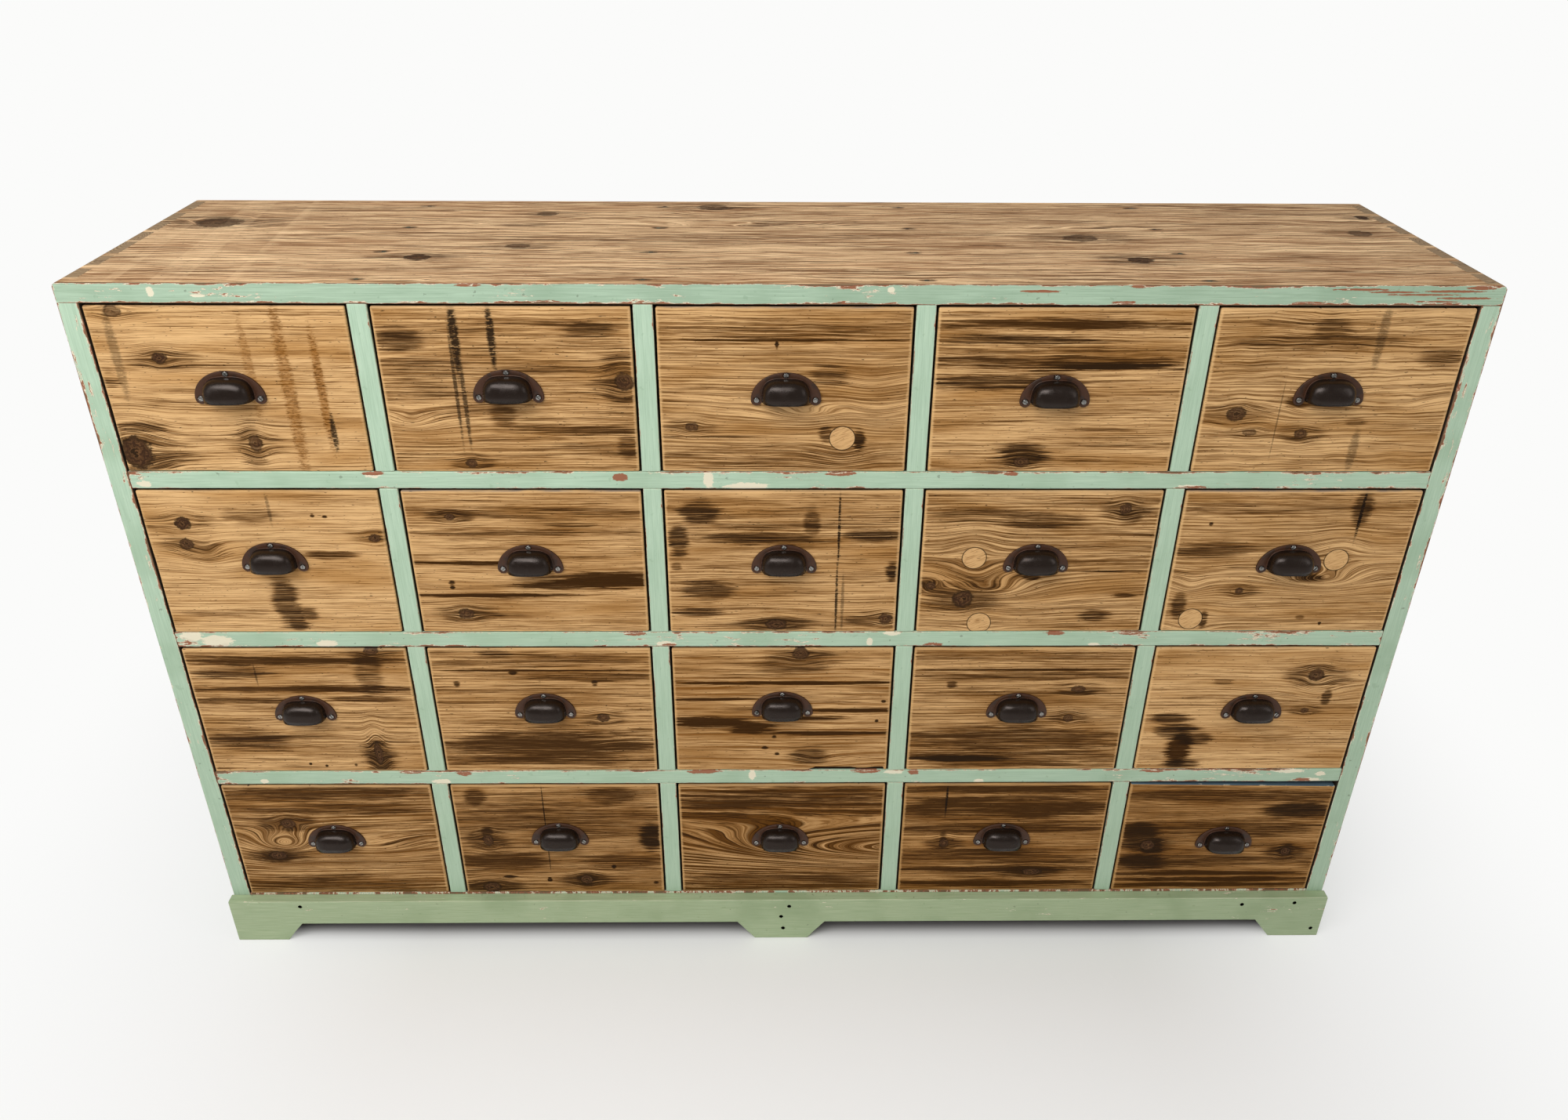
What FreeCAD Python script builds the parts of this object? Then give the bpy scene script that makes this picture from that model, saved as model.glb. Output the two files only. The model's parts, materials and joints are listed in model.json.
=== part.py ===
import FreeCAD, Part
import os

import Sketcher

# A floor-standing seed cabinet: a dovetailed pine case on a low plinth, divided into
# rows and columns of small drawers, each with a cast iron cup pull.
#
# Millimetres, +Z up. Someone facing the drawers looks along +Y, with +X to the right.
# The origin is on the ground, in the middle of the cabinet's outer box, which runs
# from the lips of the pulls to the back of the case.

ROWS = 4
COLUMNS = 5
CASE_TAILS = 7
DRAWER_TAILS = 4
BACK_PLANKS = 14
NAILS_PER_PARTITION = 4

# The driving sizes: one cell of the sheet each, with this name as its alias.
SIZES = (
    ("case_width", 1640, "outside width of the case"),
    ("case_depth", 388, "front edge of the case to its back"),
    ("overall_height", 1013, "ground to the top face"),
    ("side_thickness", 24, "side boards"),
    ("top_thickness", 24, "top board"),
    ("floor_thickness", 24, "bottom board"),
    ("floor_level", 81, "ground to the top face of the bottom board"),
    ("shelf_thickness", 23, "shelves between the rows"),
    ("partition_thickness", 23, "partitions between the columns"),
    ("back_thickness", 12, "back planks"),
    ("plank_gap", 1, "shrinkage gap between back planks"),
    ("housing_depth", 8, "how far a shelf enters a side board"),
    ("housing_stop", 10, "front edge to the start of the housings"),
    ("tail_rebate", 3, "thinning of the case tails on their inner face"),
    ("case_tail_width", 41, "case dovetail at its wide end"),
    ("case_tail_flare", 3.4, "how much a case tail widens on each edge"),
    ("plinth_thickness", 16, "plinth front board"),
    ("plinth_overhang", 3, "plinth front past each side board"),
    ("plinth_step", 2, "plinth front below the bottom board's top face"),
    ("arch_height", 36, "ground to the underside of the plinth arches"),
    ("foot_width", 76, "end foot along the ground"),
    ("foot_slope", 25, "sideways run of a foot's slanted edge"),
    ("centre_foot_width", 80, "centre foot along the ground"),
    ("plinth_board", 20, "plinth side and rear boards"),
    ("block_width", 40, "blocks in the plinth's corners"),
    ("centre_block_width", 60, "block behind the centre foot"),
    ("side_gap", 2.5, "drawer front to partition, on each side"),
    ("top_gap", 3, "drawer front to the board above"),
    ("running_gap", 0.4, "drawer to the board that it runs on"),
    ("rear_gap", 1, "drawer to the back planks"),
    ("front_thickness", 20, "drawer fronts"),
    ("front_rounding", 2.5, "worn rounding round a drawer front's face"),
    ("drawer_board", 12, "drawer sides and back"),
    ("side_drop", 6, "drawer side below the top of its front"),
    ("back_drop", 8, "drawer back below the top of its sides"),
    ("panel_thickness", 8, "drawer bottom"),
    ("panel_height", 10, "drawer's underside to its bottom panel"),
    ("groove_depth", 6, "how far the panel enters the boards round it"),
    ("socket_depth", 14, "drawer tails in the front"),
    ("drawer_tail_width", 32, "drawer dovetail at its wide end"),
    ("drawer_tail_flare", 2, "how much a drawer tail widens on each edge"),
    ("pull_reach", 23, "drawer face to the lip of the pull"),
    ("pull_drop", 6, "pull's lower screws below the middle of the front"),
    ("cup_width", 57.5, "cup of the pull, across its mouth"),
    ("cup_rise", 27, "cup of the pull, mouth to crown"),
    ("cup_swell", 30, "depth that the cup's curve would reach unflattened"),
    ("cup_wall", 2.2, "wall of the cup"),
    ("flange_thickness", 2.4, "plate that carries the cup"),
    ("lobe_radius", 6.8, "rounded ends of the plate"),
    ("side_screw_offset", 6, "cup to the lower screws"),
    ("top_screw_offset", 3.3, "crown of the cup to the upper screw"),
    ("flange_margin", 3.7, "upper screw to the plate's edge"),
    ("recess_depth", 1.2, "recess round each screw head"),
    ("head_gap", 0.9, "screw head to the wall of its recess"),
    ("screw_head_radius", 3.1, "pan head"),
    ("screw_head_height", 2, "pan head"),
    ("screw_crown_radius", 2.1, "flat top of the pan head"),
    ("slot_width", 0.9, "screwdriver slot"),
    ("slot_depth", 0.8, "screwdriver slot"),
    ("shank_radius", 1.6, "screw shank"),
    ("shank_gap", 0.3, "shank to the hole in the plate"),
    ("screw_backoff", 6, "wood left behind a screw's point"),
    ("nail_radius", 1.3, "nail shank"),
    ("nail_head_radius", 3, "nail head"),
    ("nail_head_height", 0.8, "nail head, driven flush"),
    ("nail_grip", 30, "nail past the board that it holds"),
    ("nail_inset", 15, "front edge of the case to the first top nail"),
    ("nail_rear_inset", 19, "last top nail to the back planks"),
    ("left_nail_inset", 102, "end of the case to the left nail of the plinth front"),
    ("right_nail_inset", 46, "end of the case to the right nail of the plinth front"),
    ("right_nail_gap", 79, "that nail to the next one along"),
    ("end_nail_rise", 16, "ground to the nail that enters the plinth's end board"),
    ("block_nail_step", 24, "down from nail to nail, above the centre foot"),
    ("nail_wander", 3, "how far nails driven by hand stray from their line"),
)

# What follows from the driving sizes. Each line may use the lines above it.
LAYOUT = (
    ("front_y", "(sizes.pull_reach - sizes.case_depth) / 2"),
    ("back_y", "(sizes.pull_reach + sizes.case_depth) / 2"),
    ("half_width", "sizes.case_width / 2"),
    ("inner_half", "layout.half_width - sizes.side_thickness"),
    ("inner_depth", "sizes.case_depth - sizes.back_thickness"),
    ("top_under", "sizes.overall_height - sizes.top_thickness"),
    ("floor_under", "sizes.floor_level - sizes.floor_thickness"),
    ("partitions", f"{COLUMNS - 1} * sizes.partition_thickness"),
    ("bay_width", f"(2 * layout.inner_half - layout.partitions) / {COLUMNS}"),
    ("shelves", f"{ROWS - 1} * sizes.shelf_thickness"),
    ("bay_height", f"(layout.top_under - sizes.floor_level - layout.shelves) / {ROWS}"),
    ("column_pitch", "layout.bay_width + sizes.partition_thickness"),
    ("row_pitch", "layout.bay_height + sizes.shelf_thickness"),
    ("tail_thickness", "sizes.side_thickness - sizes.tail_rebate"),
    ("top_nail_line", "layout.inner_depth - sizes.nail_inset - sizes.nail_rear_inset"),
    ("nail_pitch", f"layout.top_nail_line / {NAILS_PER_PARTITION - 1}"),
    ("nail_line", "sizes.floor_level - sizes.floor_thickness / 2"),
    ("case_tail_pitch", f"sizes.case_depth / {CASE_TAILS}"),
    ("plank_pitch", f"(2 * layout.inner_half + sizes.plank_gap) / {BACK_PLANKS}"),
    ("drawer_width", "layout.bay_width - 2 * sizes.side_gap"),
    ("drawer_height", "layout.bay_height - sizes.top_gap - sizes.running_gap"),
    ("drawer_length", "layout.inner_depth - sizes.rear_gap"),
    ("drawer_side_height", "layout.drawer_height - sizes.side_drop"),
    ("drawer_tail_pitch", f"layout.drawer_side_height / {DRAWER_TAILS}"),
    ("cup_half", "sizes.cup_width / 2"),
    ("side_screw_x", "layout.cup_half + sizes.side_screw_offset"),
    ("top_screw_z", "sizes.cup_rise + sizes.top_screw_offset"),
    ("flange_half", "layout.side_screw_x + sizes.lobe_radius"),
    ("flange_rise", "layout.top_screw_z + sizes.flange_margin"),
    ("pull_z", "layout.drawer_height / 2 - sizes.pull_drop"),
)

# The pulls were fitted by eye: how far each sits right of and above its right place.
PULL_SHIFTS = (
    ((-3, -2), (-1, 0), (2, -3), (-3, -5), (-1, -2)),
    ((3, 3), (2, 0), (1, 0), (-1, 1), (1, 0)),
    ((-3, 0), (0, 3), (0, 5), (-2, 2), (-1, 0)),
    ((-1, 3), (0, 5), (-2, 2), (0, 2), (5, -5)),
)

# Nails in the plinth front, each right of its middle and above the ground: they enter
# the bottom board, the block behind the centre foot, and the plinth's right end board.
PLINTH_NAILS = (
    ("sizes.left_nail_inset - layout.half_width", "layout.nail_line"),
    ("4 * sizes.nail_wander", "layout.nail_line - sizes.nail_wander"),
    ("0", "layout.nail_line - sizes.block_nail_step"),
    ("sizes.nail_wander", "layout.nail_line - 2 * sizes.block_nail_step"),
    ("layout.half_width - sizes.right_nail_inset - sizes.right_nail_gap",
     "layout.nail_line - sizes.nail_wander"),
    ("layout.half_width - sizes.right_nail_inset", "layout.nail_line"),
    ("layout.half_width - sizes.plinth_board / 2", "sizes.end_nail_rise"),
)

X_AXIS = FreeCAD.Vector(1, 0, 0)
Y_AXIS = FreeCAD.Vector(0, 1, 0)
Z_AXIS = FreeCAD.Vector(0, 0, 1)
QUARTER_TURN = 90
HALF_TURN = 180

doc = FreeCAD.newDocument("seed_cabinet")
sub_parts = []


# ---------------------------------------------------------------- sheet and helpers

sheet = doc.addObject("Spreadsheet::Sheet", "sizes")
for line, (alias, value, meaning) in enumerate(SIZES, start=1):
    sheet.set(f"A{line}", meaning)
    sheet.set(f"B{line}", str(value))
    sheet.setAlias(f"B{line}", alias)
doc.recompute()

layout = doc.addObject("App::VarSet", "layout")
for alias, rule in LAYOUT:
    layout.addProperty("App::PropertyFloat", alias, "Layout")
    layout.setExpression(alias, rule)
    doc.recompute()


def bind(piece, **rules):
    """Ties properties of a piece to rules written in the sheet's names."""
    for name, rule in rules.items():
        piece.setExpression(name, rule)
    return piece


def move(piece, x="0", y="0", z="0", turn=0):
    """Places a piece, turned about the X axis first."""
    piece.Placement = FreeCAD.Placement(FreeCAD.Vector(), FreeCAD.Rotation(X_AXIS, turn))
    for axis, rule in (("x", x), ("y", y), ("z", z)):
        piece.setExpression(f"Placement.Base.{axis}", rule)
    return piece


def board(name, length, width, height, **place):
    """A plain board: length along X, width along Y and height along Z."""
    piece = doc.addObject("Part::Box", name)
    bind(piece, Length=length, Width=width, Height=height)
    return move(piece, **place)


def rod(name, radius, height, **place):
    """A round rod that rises along its own Z axis."""
    piece = doc.addObject("Part::Cylinder", name)
    bind(piece, Radius=radius, Height=height)
    return move(piece, **place)


def tail(name, thickness, length, width, flare, **place):
    """A dovetail: a wedge that grows along its own Y and widens along its own Z."""
    piece = doc.addObject("Part::Wedge", name)
    piece.Xmin = piece.X2min = piece.Ymin = 0
    bind(piece, Xmax=thickness, X2max=thickness, Ymax=length)
    bind(piece, Z2max=f"{width} / 2", Z2min=f"-{width} / 2")
    bind(piece, Zmax=f"{width} / 2 - {flare}", Zmin=f"{flare} - {width} / 2")
    return move(piece, **place)


def fuse(name, pieces):
    joined = doc.addObject("Part::MultiFuse", name)
    joined.Shapes = pieces
    joined.Refine = True
    return joined


def cut(name, base, tools):
    """The base with every tool taken out of it."""
    left = doc.addObject("Part::Cut", name)
    left.Base = base
    left.Tool = fuse(f"{name}_tools", tools) if len(tools) > 1 else tools[0]
    left.Refine = True
    return left


def group(name, pieces, **place):
    """Pieces that lie together, as one object with a placement of its own."""
    together = doc.addObject("Part::Compound", name)
    together.Links = pieces
    return move(together, **place)


def keep(name, piece):
    """Marks a finished sub-part, under the name that its file takes."""
    piece.Label = name
    sub_parts.append(piece)
    return piece


def profile(body, name, corners):
    """A closed outline on the body's XZ plane; each corner is a pair of rules."""
    sketch = body.newObject("Sketcher::SketchObject", name)
    plane = [item for item in body.Origin.OriginFeatures if item.Role == "XZ_Plane"]
    sketch.AttachmentSupport = [(plane[0], "")]
    sketch.MapMode = "FlatFace"
    count = len(corners)
    for index in range(count):
        start = FreeCAD.Vector(index, index * index, 0)
        after = (index + 1) % count
        end = FreeCAD.Vector(after, after * after, 0)
        sketch.addGeometry(Part.LineSegment(start, end))
    for index in range(count):
        sketch.addConstraint(Sketcher.Constraint("Coincident", index, 2, (index + 1) % count, 1))
    for index, (across, up) in enumerate(corners):
        for kind, rule in (("DistanceX", across), ("DistanceY", up)):
            number = sketch.addConstraint(Sketcher.Constraint(kind, -1, 1, index, 1, 1.0))
            sketch.setExpression(f"Constraints[{number}]", rule)
    return sketch


def nail(name, held):
    """A cut nail, point down, its head flush at height 0, through a board so thick."""
    shank = rod(f"{name}_shank", "sizes.nail_radius", f"{held} + sizes.nail_grip",
                z=f"-({held} + sizes.nail_grip)")
    head = rod(f"{name}_head", "sizes.nail_head_radius", "sizes.nail_head_height",
               z="-sizes.nail_head_height")
    return fuse(name, [shank, head])


# ---------------------------------------------------------------- the case

def column_x(column):
    """The middle of a column of drawers."""
    return f"({column - (COLUMNS - 1) / 2}) * layout.column_pitch"


def row_z(row):
    """The level that the drawers of a row run on; row 0 is the upper one."""
    return f"(sizes.floor_level + {ROWS - 1 - row} * layout.row_pitch)"


def partition_x(number):
    """The middle of a partition, counted from the left."""
    return f"({number + 1 - COLUMNS / 2}) * layout.column_pitch"


def case_tails(side, left_x):
    """The row of dovetails on the top end of a side board."""
    return [
        tail(f"case_tail_{side}_{number + 1}", "layout.tail_thickness", "sizes.top_thickness",
             "sizes.case_tail_width", "sizes.case_tail_flare", turn=QUARTER_TURN, x=left_x,
             y=f"layout.front_y + {number + 0.5} * layout.case_tail_pitch", z="layout.top_under")
        for number in range(CASE_TAILS)
    ]


def housed_shelf(name, thickness, depth, level):
    """A board between the sides; what it gives is the tongue that enters them."""
    blank = board(f"{name}_blank", "2 * layout.inner_half", depth, thickness,
                  x="-layout.inner_half", y="layout.front_y", z=level)
    reach = "(layout.inner_half + sizes.housing_depth)"
    tongue = board(f"{name}_tongue", f"2 * {reach}", f"{depth} - sizes.housing_stop", thickness,
                   x=f"-{reach}", y="layout.front_y + sizes.housing_stop", z=level)
    keep(name, fuse(f"{name}_board", [blank, tongue]))
    return tongue


tongues = [
    housed_shelf(shelf_name, "sizes.shelf_thickness", "layout.inner_depth",
                 f"{row_z(row)} - sizes.shelf_thickness")
    for row, shelf_name in enumerate(("shelf_upper", "shelf_middle", "shelf_lower"))
]
tongues.append(housed_shelf("bottom_board", "sizes.floor_thickness", "sizes.case_depth",
                            "layout.floor_under"))

left_tails = case_tails("left", "-layout.half_width")
right_tails = case_tails("right", "layout.half_width - layout.tail_thickness")
for side, left_x, tails in (
    ("left", "-layout.half_width", left_tails),
    ("right", "layout.inner_half", right_tails),
):
    blank = board(f"side_{side}_blank", "sizes.side_thickness", "sizes.case_depth",
                  "layout.top_under - layout.floor_under",
                  x=left_x, y="layout.front_y", z="layout.floor_under")
    tailed = fuse(f"side_{side}_tailed", [blank, *tails])
    keep(f"side_{side}", cut(f"side_{side}_board", tailed, tongues))

top_blank = board("top_blank", "sizes.case_width", "sizes.case_depth", "sizes.top_thickness",
                  x="-layout.half_width", y="layout.front_y", z="layout.top_under")
keep("top_board", cut("top_board_cut", top_blank, left_tails + right_tails))

for row in range(ROWS):
    partitions = [
        board(f"partition_{row + 1}_{number + 1}", "sizes.partition_thickness",
              "layout.inner_depth", "layout.bay_height",
              x=f"{partition_x(number)} - sizes.partition_thickness / 2",
              y="layout.front_y", z=row_z(row))
        for number in range(COLUMNS - 1)
    ]
    keep(f"partitions_row_{row + 1}", group(f"partitions_{row + 1}", partitions))

planks = [
    board(f"plank_{number + 1}", "layout.plank_pitch - sizes.plank_gap", "sizes.back_thickness",
          "layout.top_under - sizes.floor_level",
          x=f"{number} * layout.plank_pitch - layout.inner_half",
          y="layout.front_y + layout.inner_depth", z="sizes.floor_level")
    for number in range(BACK_PLANKS)
]
keep("back_planks", group("back", planks))


# ---------------------------------------------------------------- the plinth

# The front board's outline, from its left end to its middle, along the underside.
END = "(layout.half_width + sizes.plinth_overhang)"
CENTRE = "(sizes.centre_foot_width / 2)"
half_outline = [
    (f"-{END}", "sizes.floor_level - sizes.plinth_step"),
    (f"-{END}", "0"),
    (f"sizes.foot_width - {END}", "0"),
    (f"sizes.foot_width + sizes.foot_slope - {END}", "sizes.arch_height"),
    (f"-({CENTRE} + sizes.foot_slope)", "sizes.arch_height"),
    (f"-{CENTRE}", "0"),
]
other_half = [(f"-({across})", up) for across, up in reversed(half_outline)]

plinth_body = doc.addObject("PartDesign::Body", "plinth_front_body")
plinth_pad = plinth_body.newObject("PartDesign::Pad", "plinth_front_pad")
plinth_pad.Profile = profile(plinth_body, "plinth_outline", half_outline + other_half)
bind(plinth_pad, Length="sizes.plinth_thickness")
keep("plinth_front", move(plinth_body, y="layout.front_y"))

RIM_LENGTH = "sizes.case_depth - sizes.plinth_board"
for side, left_x in (
    ("left", "-layout.half_width"),
    ("right", "layout.half_width - sizes.plinth_board"),
):
    keep(f"plinth_{side}", board(f"plinth_{side}_board", "sizes.plinth_board", RIM_LENGTH,
                                 "layout.floor_under", x=left_x, y="layout.front_y"))
keep("plinth_rear", board("plinth_rear_board", "sizes.case_width", "sizes.plinth_board",
                          "layout.floor_under", x="-layout.half_width",
                          y="layout.back_y - sizes.plinth_board"))

CORNER = "(layout.half_width - sizes.plinth_board)"
block_places = [
    (corner_x, corner_y)
    for corner_x in (f"-{CORNER}", f"{CORNER} - sizes.block_width")
    for corner_y in ("layout.front_y", "layout.back_y - sizes.plinth_board - sizes.block_width")
]
blocks = [
    board(f"corner_block_{number + 1}", "sizes.block_width", "sizes.block_width",
          "layout.floor_under", x=block_x, y=block_y)
    for number, (block_x, block_y) in enumerate(block_places)
]
blocks.append(board("centre_block", "sizes.centre_block_width", "sizes.block_width",
                    "layout.floor_under", x="-sizes.centre_block_width / 2",
                    y="layout.front_y"))
keep("plinth_blocks", group("blocks", blocks))


# ---------------------------------------------------------------- nails

top_nail = nail("top_nail", "sizes.top_thickness")
top_nails = [
    group(f"top_nail_{number + 1}_{place + 1}", [top_nail], x=partition_x(number),
          y=f"layout.front_y + sizes.nail_inset + {place} * layout.nail_pitch",
          z="sizes.overall_height")
    for number in range(COLUMNS - 1)
    for place in range(NAILS_PER_PARTITION)
]
keep("top_nails", group("top_nail_set", top_nails))

plinth_nail = nail("plinth_nail", "sizes.plinth_thickness")
plinth_nails = [
    group(f"plinth_nail_{number + 1}", [plinth_nail], turn=QUARTER_TURN, x=across,
          y="layout.front_y - sizes.plinth_thickness", z=up)
    for number, (across, up) in enumerate(PLINTH_NAILS)
]
keep("plinth_nails", group("plinth_nail_set", plinth_nails))

back_nail = nail("back_nail", "sizes.back_thickness")
back_nails = [
    group(f"back_nail_{row + 1}_{number + 1}", [back_nail], turn=-QUARTER_TURN,
          x=f"({number + 0.5}) * layout.plank_pitch - layout.inner_half",
          y="layout.back_y", z=f"{row_z(row)} - sizes.shelf_thickness / 2")
    for row in range(ROWS - 1)
    for number in range(BACK_PLANKS)
]
keep("back_nails", group("back_nail_set", back_nails))


# ---------------------------------------------------------------- one drawer
# Its own origin is in the middle of the front's lower edge, on the outer face.

WIDTH = "layout.drawer_width"
front_body = doc.addObject("PartDesign::Body", "drawer_front_body")
front_pad = front_body.newObject("PartDesign::Pad", "drawer_front_pad")
front_pad.Profile = profile(front_body, "drawer_front_outline", [
    (f"-{WIDTH} / 2", "0"),
    (f"{WIDTH} / 2", "0"),
    (f"{WIDTH} / 2", "layout.drawer_height"),
    (f"-{WIDTH} / 2", "layout.drawer_height"),
])
front_pad.Reversed = True
bind(front_pad, Length="sizes.front_thickness")
doc.recompute()

outer_faces = [
    f"Face{number}"
    for number, face in enumerate(front_pad.Shape.Faces, start=1)
    if abs(face.CenterOfMass.y) < front_pad.Shape.BoundBox.YLength / 2
    and abs(face.normalAt(0, 0).y) > abs(face.normalAt(0, 0).x) + abs(face.normalAt(0, 0).z)
]
front_rounding = front_body.newObject("PartDesign::Fillet", "drawer_front_rounding")
front_rounding.Base = (front_pad, outer_faces)
bind(front_rounding, Radius="sizes.front_rounding")
front_body.Tip = front_rounding

PANEL_WIDTH = f"({WIDTH} - 2 * sizes.drawer_board + 2 * sizes.groove_depth)"
panel_front = "(sizes.front_thickness - sizes.groove_depth)"
panel = board("drawer_panel", PANEL_WIDTH, f"layout.drawer_length - {panel_front}",
              "sizes.panel_thickness", x=f"-{PANEL_WIDTH} / 2", y=panel_front,
              z="sizes.panel_height")

drawer_sides = []
drawer_tails = []
for side, left_x in (
    ("left", f"-{WIDTH} / 2"),
    ("right", f"{WIDTH} / 2 - sizes.drawer_board"),
):
    tails = [
        tail(f"drawer_tail_{side}_{number + 1}", "sizes.drawer_board", "sizes.socket_depth",
             "sizes.drawer_tail_width", "sizes.drawer_tail_flare", turn=HALF_TURN, x=left_x,
             y="sizes.front_thickness", z=f"{number + 0.5} * layout.drawer_tail_pitch")
        for number in range(DRAWER_TAILS)
    ]
    blank = board(f"drawer_side_{side}_blank", "sizes.drawer_board",
                  "layout.drawer_length - sizes.front_thickness", "layout.drawer_side_height",
                  x=left_x, y="sizes.front_thickness")
    tailed = fuse(f"drawer_side_{side}_tailed", [blank, *tails])
    drawer_sides.append(cut(f"drawer_side_{side}", tailed, [panel]))
    drawer_tails += tails

drawer_front = cut("drawer_front", front_body, [*drawer_tails, panel])
BACK_FOOT = "(sizes.panel_height + sizes.panel_thickness)"
drawer_back = board("drawer_back", f"{WIDTH} - 2 * sizes.drawer_board", "sizes.drawer_board",
                    f"layout.drawer_side_height - sizes.back_drop - {BACK_FOOT}",
                    x=f"sizes.drawer_board - {WIDTH} / 2",
                    y="layout.drawer_length - sizes.drawer_board", z=BACK_FOOT)


# ---------------------------------------------------------------- one pull
# Its own origin is on the drawer's face, between the two lower screws.

def ellipsoid(name, inset):
    """The cup's round form, smaller by an inset all over.

    Its poles point out of the drawer and into it, and its seam down, so that none of
    them is left once the form is trimmed.
    """
    form = doc.addObject("Part::Ellipsoid", name)
    form.Placement = FreeCAD.Placement(FreeCAD.Vector(), FreeCAD.Rotation(-Z_AXIS, X_AXIS, -Y_AXIS))
    return bind(form, Radius1=f"sizes.cup_swell - {inset}", Radius2=f"sizes.cup_rise - {inset}",
                Radius3=f"layout.cup_half - {inset}")


def common(name, pieces):
    shared = doc.addObject("Part::MultiCommon", name)
    shared.Shapes = pieces
    return shared


def cup_form(name, inset):
    """The round form in front of the drawer, above the mouth, behind the flat lip."""
    reach = f"(sizes.pull_reach - {inset})"
    room = board(f"{name}_room", "sizes.cup_width", reach, "sizes.cup_rise",
                 x="-layout.cup_half", y=f"-{reach}")
    return common(name, [ellipsoid(f"{name}_round", inset), room])


flange_curve = doc.addObject("Part::Ellipse", "flange_curve")
bind(flange_curve, MajorRadius="layout.flange_half", MinorRadius="layout.flange_rise")
move(flange_curve, turn=QUARTER_TURN)
flange_disc = doc.addObject("Part::Extrusion", "flange_disc")
flange_disc.Base = flange_curve
flange_disc.DirMode = "Custom"
flange_disc.Dir = -Y_AXIS
flange_disc.Solid = True
bind(flange_disc, LengthFwd="sizes.flange_thickness")
upper_half = board("flange_room", "2 * layout.flange_half", "sizes.flange_thickness",
                   "layout.flange_rise", x="-layout.flange_half", y="-sizes.flange_thickness")

screw_places = (
    ("left", "-layout.side_screw_x", "0"),
    ("right", "layout.side_screw_x", "0"),
    ("top", "0", "layout.top_screw_z"),
)
lobes = [
    rod(f"flange_lobe_{where}", "sizes.lobe_radius", "sizes.flange_thickness",
        turn=QUARTER_TURN, x=screw_x, z=screw_z)
    for where, screw_x, screw_z in screw_places[:2]
]
recesses = [
    rod(f"recess_{where}", "sizes.screw_head_radius + sizes.head_gap", "sizes.recess_depth",
        turn=QUARTER_TURN, x=screw_x, z=screw_z,
        y="sizes.recess_depth - sizes.flange_thickness")
    for where, screw_x, screw_z in screw_places
]
holes = [
    rod(f"hole_{where}", "sizes.shank_radius + sizes.shank_gap", "sizes.flange_thickness",
        turn=QUARTER_TURN, x=screw_x, z=screw_z)
    for where, screw_x, screw_z in screw_places
]
plate = common("flange_plate", [flange_disc, upper_half])
solid_pull = fuse("pull_solid", [plate, *lobes, cup_form("cup_outside", "0")])
casting = cut("pull_casting", solid_pull,
              [cup_form("cup_inside", "sizes.cup_wall"), *recesses, *holes])

# A screw stands head up on its own origin, under the head.
head = doc.addObject("Part::Cone", "screw_head")
bind(head, Radius1="sizes.screw_head_radius", Radius2="sizes.screw_crown_radius",
     Height="sizes.screw_head_height")
SCREW_LENGTH = """(sizes.front_thickness - sizes.screw_backoff
    + sizes.flange_thickness - sizes.recess_depth)"""
shank = rod("screw_shank", "sizes.shank_radius", SCREW_LENGTH, z=f"-{SCREW_LENGTH}")
slot = board("screw_slot", "2 * sizes.screw_head_radius", "sizes.slot_width",
             "sizes.slot_depth", x="-sizes.screw_head_radius", y="-sizes.slot_width / 2",
             z="sizes.screw_head_height - sizes.slot_depth")
screw = cut("screw", fuse("screw_blank", [head, shank]), [slot])
screws = [
    group(f"screw_{where}", [screw], turn=QUARTER_TURN, x=screw_x, z=screw_z,
          y="sizes.recess_depth - sizes.flange_thickness")
    for where, screw_x, screw_z in screw_places
]


# ---------------------------------------------------------------- every drawer

for row in range(ROWS):
    for column in range(COLUMNS):
        place = f"r{row + 1}_c{column + 1}"
        right, up = PULL_SHIFTS[row][column]
        base_z = f"{row_z(row)} + sizes.running_gap"
        keep(f"drawer_{place}", group(f"box_{place}",
                                      [drawer_front, *drawer_sides, drawer_back, panel],
                                      x=column_x(column), y="layout.front_y", z=base_z))
        keep(f"pull_{place}", group(f"handle_{place}", [casting, *screws],
                                    x=f"{column_x(column)} + {right}", y="layout.front_y",
                                    z=f"{base_z} + layout.pull_z + {up}"))


# ---------------------------------------------------------------- checks and files

doc.recompute()
for item in doc.Objects:
    if "Invalid" in item.State or "Error" in item.State:
        raise RuntimeError(f"{item.Label} could not be worked out: {item.State}")
    if item.TypeId == "Part::Cut" and item.Shape.Volume >= item.Base.Shape.Volume:
        raise RuntimeError(f"{item.Label} takes nothing away")

os.makedirs("parts", exist_ok=True)
for item in sub_parts:
    if item.Shape.isNull() or not item.Shape.isValid() or not item.Shape.Solids:
        raise RuntimeError(f"{item.Label} has no sound solid")
for item in sub_parts:
    item.Shape.exportStep(f"parts/{item.Label}.step")
print(len(sub_parts), "sub-parts,", sum(len(item.Shape.Solids) for item in sub_parts), "solids")
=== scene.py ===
# %% [markdown]
# # A seed cabinet in old pine, mint paint and cast iron
#
# The real cabinet is a dovetailed pine case on a low plinth, with twenty small drawers.
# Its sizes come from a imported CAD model, which is loaded first and never changed. Each
# piece here is made around that model, rides on one of its bodies, and takes over the
# CAD nodes that it stands for. All measures in the text are in millimetres; Blender
# works in metres, so meshes are scaled once, as they are made.

import json
import math
import random

import bmesh
import bpy
from mathutils import Matrix, Vector, noise

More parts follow.
